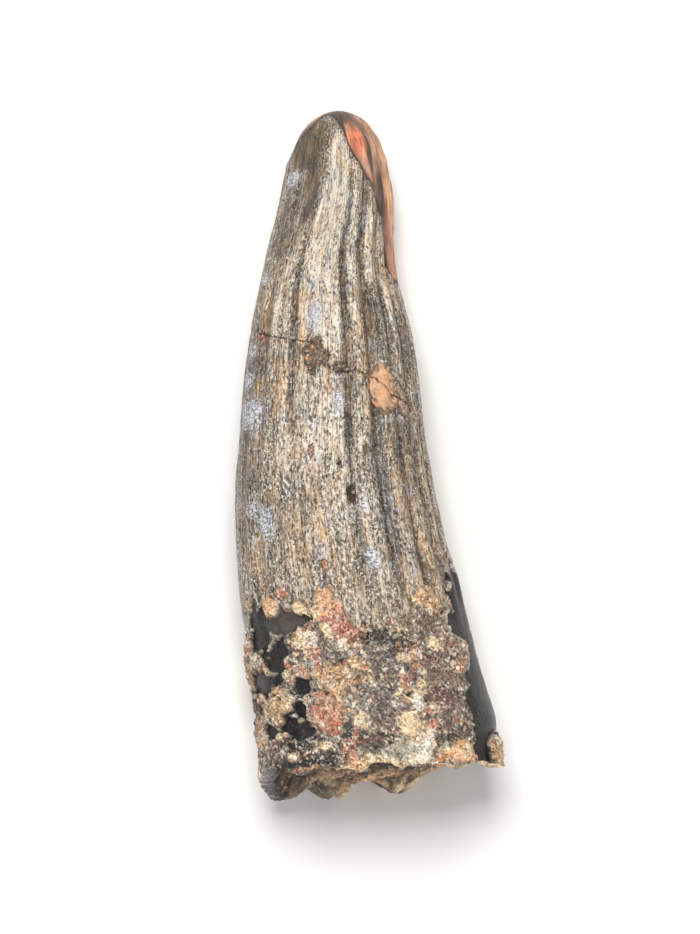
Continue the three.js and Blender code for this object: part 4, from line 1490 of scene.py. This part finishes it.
def grain_material(groups):
    """Loose sand grains: each has its own colour from its points, slightly mottled, and glassy
    patches."""
    material, wires, shader = new_material("sand grain")
    position = position_in_mm(wires)
    body = mottled(wires, groups, attribute(wires, "tint", "Color"), position, 0.2, 0.3)
    shine = specks_over(wires, groups, position, 0.3, 0.4, 0.08)
    roughness = wires.spread(shine, 0, 1, 0.7, 0.3)
    height = wires.times(wires.noise(position, 6.0, 2.0), 0.03)
    finish_surface(wires, shader, (body, roughness, height))
    return material


def floor_material():
    """Pale matt studio paper with a very faint tooth."""
    material, wires, shader = new_material("studio paper")
    position = position_in_mm(wires)
    tone = wires.noise(position, 0.05, 3.0)
    shade = wires.spread(tone, 0.3, 0.7, 0.93, 0.96)
    grey = wires.add("ShaderNodeCombineColor", {0: shade, 1: shade, 2: shade}).outputs[0]
    wires.plug(shader.inputs["Base Color"], grey)
    shader.inputs["Roughness"].default_value = 0.95
    shader.inputs["Specular IOR Level"].default_value = 0.1
    return material


def palette(context):
    """The user's colours as arrays, by name."""
    colours = context.scene.fossil_colours
    return {name: np.array(getattr(colours, name)) for name in FossilToothColours.__annotations__}


def shader_groups(shades):
    """The shared node groups, built once and then found again by name."""
    built = {}
    for key, name, maker in (
        ("speckle", "Grain speckle", speckle_group),
        ("streaks", "Lengthwise streaks", streak_group),
        ("crinkle", "Winding lines", crinkle_group),
        ("mottle", "Mottled tint", mottle_group),
    ):
        built[key] = bpy.data.node_groups.get(name) or maker()
    for key, name, maker in (
        ("enamel", "Enamel finish", enamel_group),
        ("dentine", "Dentine finish", dentine_group),
        ("sand", "Sand finish", sand_group),
        ("root", "Root finish", root_group),
    ):
        built[key] = bpy.data.node_groups.get(name) or maker(built, shades)
    return built


class FOSSIL_OT_make_tooth(bpy.types.Operator):
    """Build the tooth's surface: crown, worn tip, crusted root and broken end"""

    bl_idname = "fossil.make_tooth"
    bl_label = "Make Tooth"

    def execute(self, context):
        shades = palette(context)
        sizes = context.scene.fossil_sizes
        side = plain_side()
        zones = side_zones(side)
        relief = side_relief(side, zones, sizes)
        relief = np.where(side.point[..., 2] < 0, np.maximum(relief, 0), relief)
        points = side.point + side.outward * relief[..., None]
        points[..., 2] = np.maximum(points[..., 2], 0)
        colours = side_colours(side, zones, shades)

        end_points, inside, end_colours = end_grid(points[0], shades)
        grid = np.concatenate([end_points, points])
        tints = np.concatenate([end_colours, colours])
        tip_x, tip_z, _, _ = section(np.array(TIP_Y))
        poles = np.array([end_points[0].mean(axis=0), (tip_x, TIP_Y, tip_z)])
        everything = np.concatenate([grid.reshape(-1, 3), poles])
        shift = frame_shift(everything)

        rows, columns = grid.shape[:2]
        material = tooth_material(shader_groups(shades), shades)
        piece = add_mesh("fossil_tooth", everything + shift, grid_faces(rows, columns), material)

        def spread_out(end_value, side_values):
            """One value for each point: the end's, the side's, and those of the two poles."""
            ends = np.broadcast_to(end_value, end_points.shape[:2])
            flat = np.concatenate([ends, side_values]).ravel()
            return np.concatenate([flat, [flat[0], flat[-1]]])

        below_rim = np.minimum(side.y[0] - side.y, 0)
        for name, end_value, values in (
            ("worn", -FAR, zones.worn),
            ("crusted", -FAR, zones.crusted),
            ("bare", -FAR, np.minimum(zones.bare, zones.crusted)),
            ("chipped", -FAR, zones.chipped),
            ("crack", FAR, zones.crack),
            ("pale", 0.0, zones.pale),
            ("frost", 0.0, zones.frost),
            ("inside", inside, below_rim),
        ):
            store(piece, name, "FLOAT", np.clip(spread_out(end_value, values), -FAR, FAR))
        tint = tints.reshape(-1, 3)
        tint = np.concatenate([tint, [tint[0], tint[-1]]])
        store(piece, "tint", "FLOAT_COLOR", np.column_stack([tint, np.ones(len(tint))]))
        fibre = np.concatenate([end_points, fibre_points(side)]).reshape(-1, 3)
        store(piece, "fibre", "FLOAT_VECTOR", np.concatenate([fibre, [fibre[0], fibre[-1]]]))

        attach(piece, "root")
        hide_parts("tooth")
        return {"FINISHED"}


def icosahedron():
    """The twelve points and twenty faces of a ball of radius 1: three rectangles in the golden
    ratio, at right angles to each other."""
    g = (1 + math.sqrt(5)) / 2
    corners = np.array([(s, t * g, 0) for s in (-1, 1) for t in (-1, 1)], float)
    points = np.concatenate([np.roll(corners, turn, axis=1) for turn in range(3)])
    points /= np.linalg.norm(points[0])
    faces = []
    apart = np.linalg.norm(points[:, None] - points[None], axis=-1)
    near = np.isclose(apart, np.sort(apart[0])[1])
    for a, b, c in combinations(range(len(points)), 3):
        if near[a, b] and near[b, c] and near[a, c]:
            out = np.dot(np.cross(points[b] - points[a], points[c] - points[a]), points[a])
            faces.append((a, b, c) if out > 0 else (a, c, b))
    return points, np.array(faces)


def random_turns(count, rng):
    """Random rotations, one matrix each, from unit quaternions."""
    quaternions = rng.normal(size=(count, 4))
    quaternions /= np.linalg.norm(quaternions, axis=1, keepdims=True)
    w, x, y, z = quaternions.T
    return np.stack(
        [
            np.stack([1 - 2 * (y * y + z * z), 2 * (x * y - z * w), 2 * (x * z + y * w)], axis=-1),
            np.stack([2 * (x * y + z * w), 1 - 2 * (x * x + z * z), 2 * (y * z - x * w)], axis=-1),
            np.stack([2 * (x * z - y * w), 2 * (y * z + x * w), 1 - 2 * (x * x + y * y)], axis=-1),
        ],
        axis=1,
    )


class FOSSIL_OT_make_sand(bpy.types.Operator):
    """Scatter the loose sand grains that are cemented over the root's crust"""

    bl_idname = "fossil.make_sand"
    bl_label = "Make Sand"

    def execute(self, context):
        sizes = context.scene.fossil_sizes
        total = sizes.grain_count
        shades = palette(context)
        tooth = bpy.data.objects["fossil_tooth"].data
        count = len(tooth.vertices)
        points, normals = np.empty(count * 3), np.empty(count * 3)
        tooth.vertices.foreach_get("co", points)
        tooth.vertices.foreach_get("normal", normals)
        points, normals = points.reshape(-1, 3) / MM, normals.reshape(-1, 3)
        values = {}
        for name in ("crusted", "bare", "inside"):
            values[name] = np.empty(count, np.float32)
            tooth.attributes[name].data.foreach_get("value", values[name])
        tint = np.empty(count * 4, np.float32)
        tooth.attributes["tint"].data.foreach_get("color", tint)
        tint = tint.reshape(-1, 4)[:, :3]

        rng = np.random.default_rng(GRAIN_SEED)
        weight = (values["crusted"] > 0.05) & (values["bare"] < -0.12) & (points[:, 2] > 0.25)
        clusters = smoothstep(layered_noise(points, 2.2, 2, 171), -0.35, 0.45)
        weight = weight * (0.15 + clusters)
        chosen = rng.choice(count, total, p=weight / weight.sum())
        size = sizes.grain_size / MM * np.exp(rng.normal(0, 0.38, total))
        ball, ball_faces = icosahedron()
        stretch = rng.uniform(0.7, 1.25, (total, 1, 3))
        lumpy = rng.uniform(0.82, 1.12, (total, len(ball), 1))
        shapes = ball * stretch * lumpy * size[:, None, None] / 2
        shapes = np.einsum("nij,nkj->nki", random_turns(total, rng), shapes)
        middles = points[chosen] + normals[chosen] * (size * -0.16)[:, None]
        grain_points = (shapes + middles[:, None]).reshape(-1, 3)
        grain_points[:, 2] = np.maximum(grain_points[:, 2], 0.02)
        steps = (np.arange(total) * len(ball))[:, None, None]
        faces = (ball_faces + steps).reshape(-1, 3).tolist()
        piece = add_mesh("cemented_sand", grain_points, faces, grain_material(shader_groups(shades)))

        names, chances = zip(*GRAIN_COLOURS)
        choices = np.array([shades[name] for name in names])
        picks = choices[rng.choice(len(names), total, p=chances)]
        colour = 0.4 * picks + 0.6 * tint[chosen] * rng.uniform(0.7, 1.6, (total, 1))
        colour = np.repeat(np.clip(colour, 0, 1), len(ball), axis=0)
        store(piece, "tint", "FLOAT_COLOR", np.column_stack([colour, np.ones(len(colour))]))
        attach(piece, "root")
        return {"FINISHED"}


# Photograph's view: looking down on the tooth from 7 degrees on the root's side of straight above,
# with the view's height as the length that the picture's long side shows
VIEW_TILT = 7.0
LENS = 135.0
SENSOR_WIDTH = 36.0
VIEW_HEIGHT = 71.6 * MM
VIEW_MIDDLE = (-1.4 * MM, -1.7 * MM, 7.0 * MM)

# The floor lies this many mm under the tooth, so that the two don't flicker
FLOOR_Z = -0.02

# Soft square lights: name, place, side, power in watts, and colour
LIGHTS = (
    ("key", (-0.02, 0.12, 0.36), 0.15, 1.2, (1.0, 0.97, 0.93)),
    ("fill", (-0.3, 0.0, 0.26), 0.25, 0.16, (0.9, 0.95, 1.0)),
    ("front", (0.08, -0.34, 0.12), 0.12, 0.45, (1.0, 0.95, 0.88)),
)
LIT_POINT = (0.0, 0.0, 0.006)
SKY_COLOUR = (0.93, 0.96, 1.0, 1.0)
SKY_STRENGTH = 0.32


def aim(thing, place, target):
    """Puts a light or camera at a place and points its -Z at the target."""
    direction = np.array(target) - np.array(place)
    flat = math.hypot(direction[0], direction[1])
    thing.location = place
    heading = math.atan2(-direction[0], direction[1])
    thing.rotation_euler = (math.atan2(flat, -direction[2]), 0.0, heading)


class FOSSIL_OT_make_stage(bpy.types.Operator):
    """Add the pale floor, the soft lights and the camera"""

    bl_idname = "fossil.make_stage"
    bl_label = "Make Stage"

    def execute(self, context):
        scene = context.scene
        half = scene.fossil_sizes.floor_size / 2 / MM
        around = ((-half, -half), (half, -half), (half, half), (-half, half))
        corners = np.array([(x, y, FLOOR_Z) for x, y in around])
        floor = add_mesh("studio_floor", corners, [(0, 1, 2, 3)], floor_material())

        world = bpy.data.worlds.new("studio")
        scene.world = world
        world.use_nodes = True
        background = world.node_tree.nodes["Background"]
        background.inputs["Color"].default_value = SKY_COLOUR
        background.inputs["Strength"].default_value = SKY_STRENGTH
        scene.view_settings.view_transform = "Standard"

        for name, place, size, power, colour in LIGHTS:
            light = bpy.data.lights.new(name, "AREA")
            light.size = size
            light.energy = power
            light.color = colour
            lamp = bpy.data.objects.new(name, light)
            aim(lamp, place, LIT_POINT)
            scene.collection.objects.link(lamp)

        camera_data = bpy.data.cameras.new("camera")
        camera_data.lens = LENS
        camera_data.sensor_width = SENSOR_WIDTH
        camera_data.clip_start = 0.01
        camera_data.clip_end = 10.0
        camera = bpy.data.objects.new("camera", camera_data)
        distance = VIEW_HEIGHT * LENS / SENSOR_WIDTH
        tilt = math.radians(VIEW_TILT)
        offset = np.array([0.0, -math.sin(tilt), math.cos(tilt)]) * distance
        aim(camera, tuple(np.array(VIEW_MIDDLE) + offset), VIEW_MIDDLE)
        scene.collection.objects.link(camera)
        scene.camera = camera
        return {"FINISHED"}


class FOSSIL_PT_panel(bpy.types.Panel):
    """Lists the builders with the sizes and colours they read"""

    bl_label = "Fossil Tooth"
    bl_idname = "FOSSIL_PT_panel"
    bl_space_type = "VIEW_3D"
    bl_region_type = "UI"
    bl_category = "Fossil Tooth"

    def draw(self, context):
        for operator in OPERATORS:
            self.layout.operator(operator.bl_idname)
        for settings in (context.scene.fossil_sizes, context.scene.fossil_colours):
            box = self.layout.box()
            for name in settings.__annotations__:
                box.prop(settings, name)


OPERATORS = (FOSSIL_OT_make_tooth, FOSSIL_OT_make_sand, FOSSIL_OT_make_stage)
CLASSES = (FossilToothColours, FossilToothSizes, *OPERATORS, FOSSIL_PT_panel)


def register():
    for cls in CLASSES:
        bpy.utils.register_class(cls)
    bpy.types.Scene.fossil_colours = PointerProperty(type=FossilToothColours)
    bpy.types.Scene.fossil_sizes = PointerProperty(type=FossilToothSizes)


def unregister():
    del bpy.types.Scene.fossil_sizes
    del bpy.types.Scene.fossil_colours
    for cls in reversed(CLASSES):
        bpy.utils.unregister_class(cls)


def main():
    register()
    bpy.ops.fossil.make_tooth()
    bpy.ops.fossil.make_sand()
    bpy.ops.fossil.make_stage()


if __name__ == "__main__":
    main()
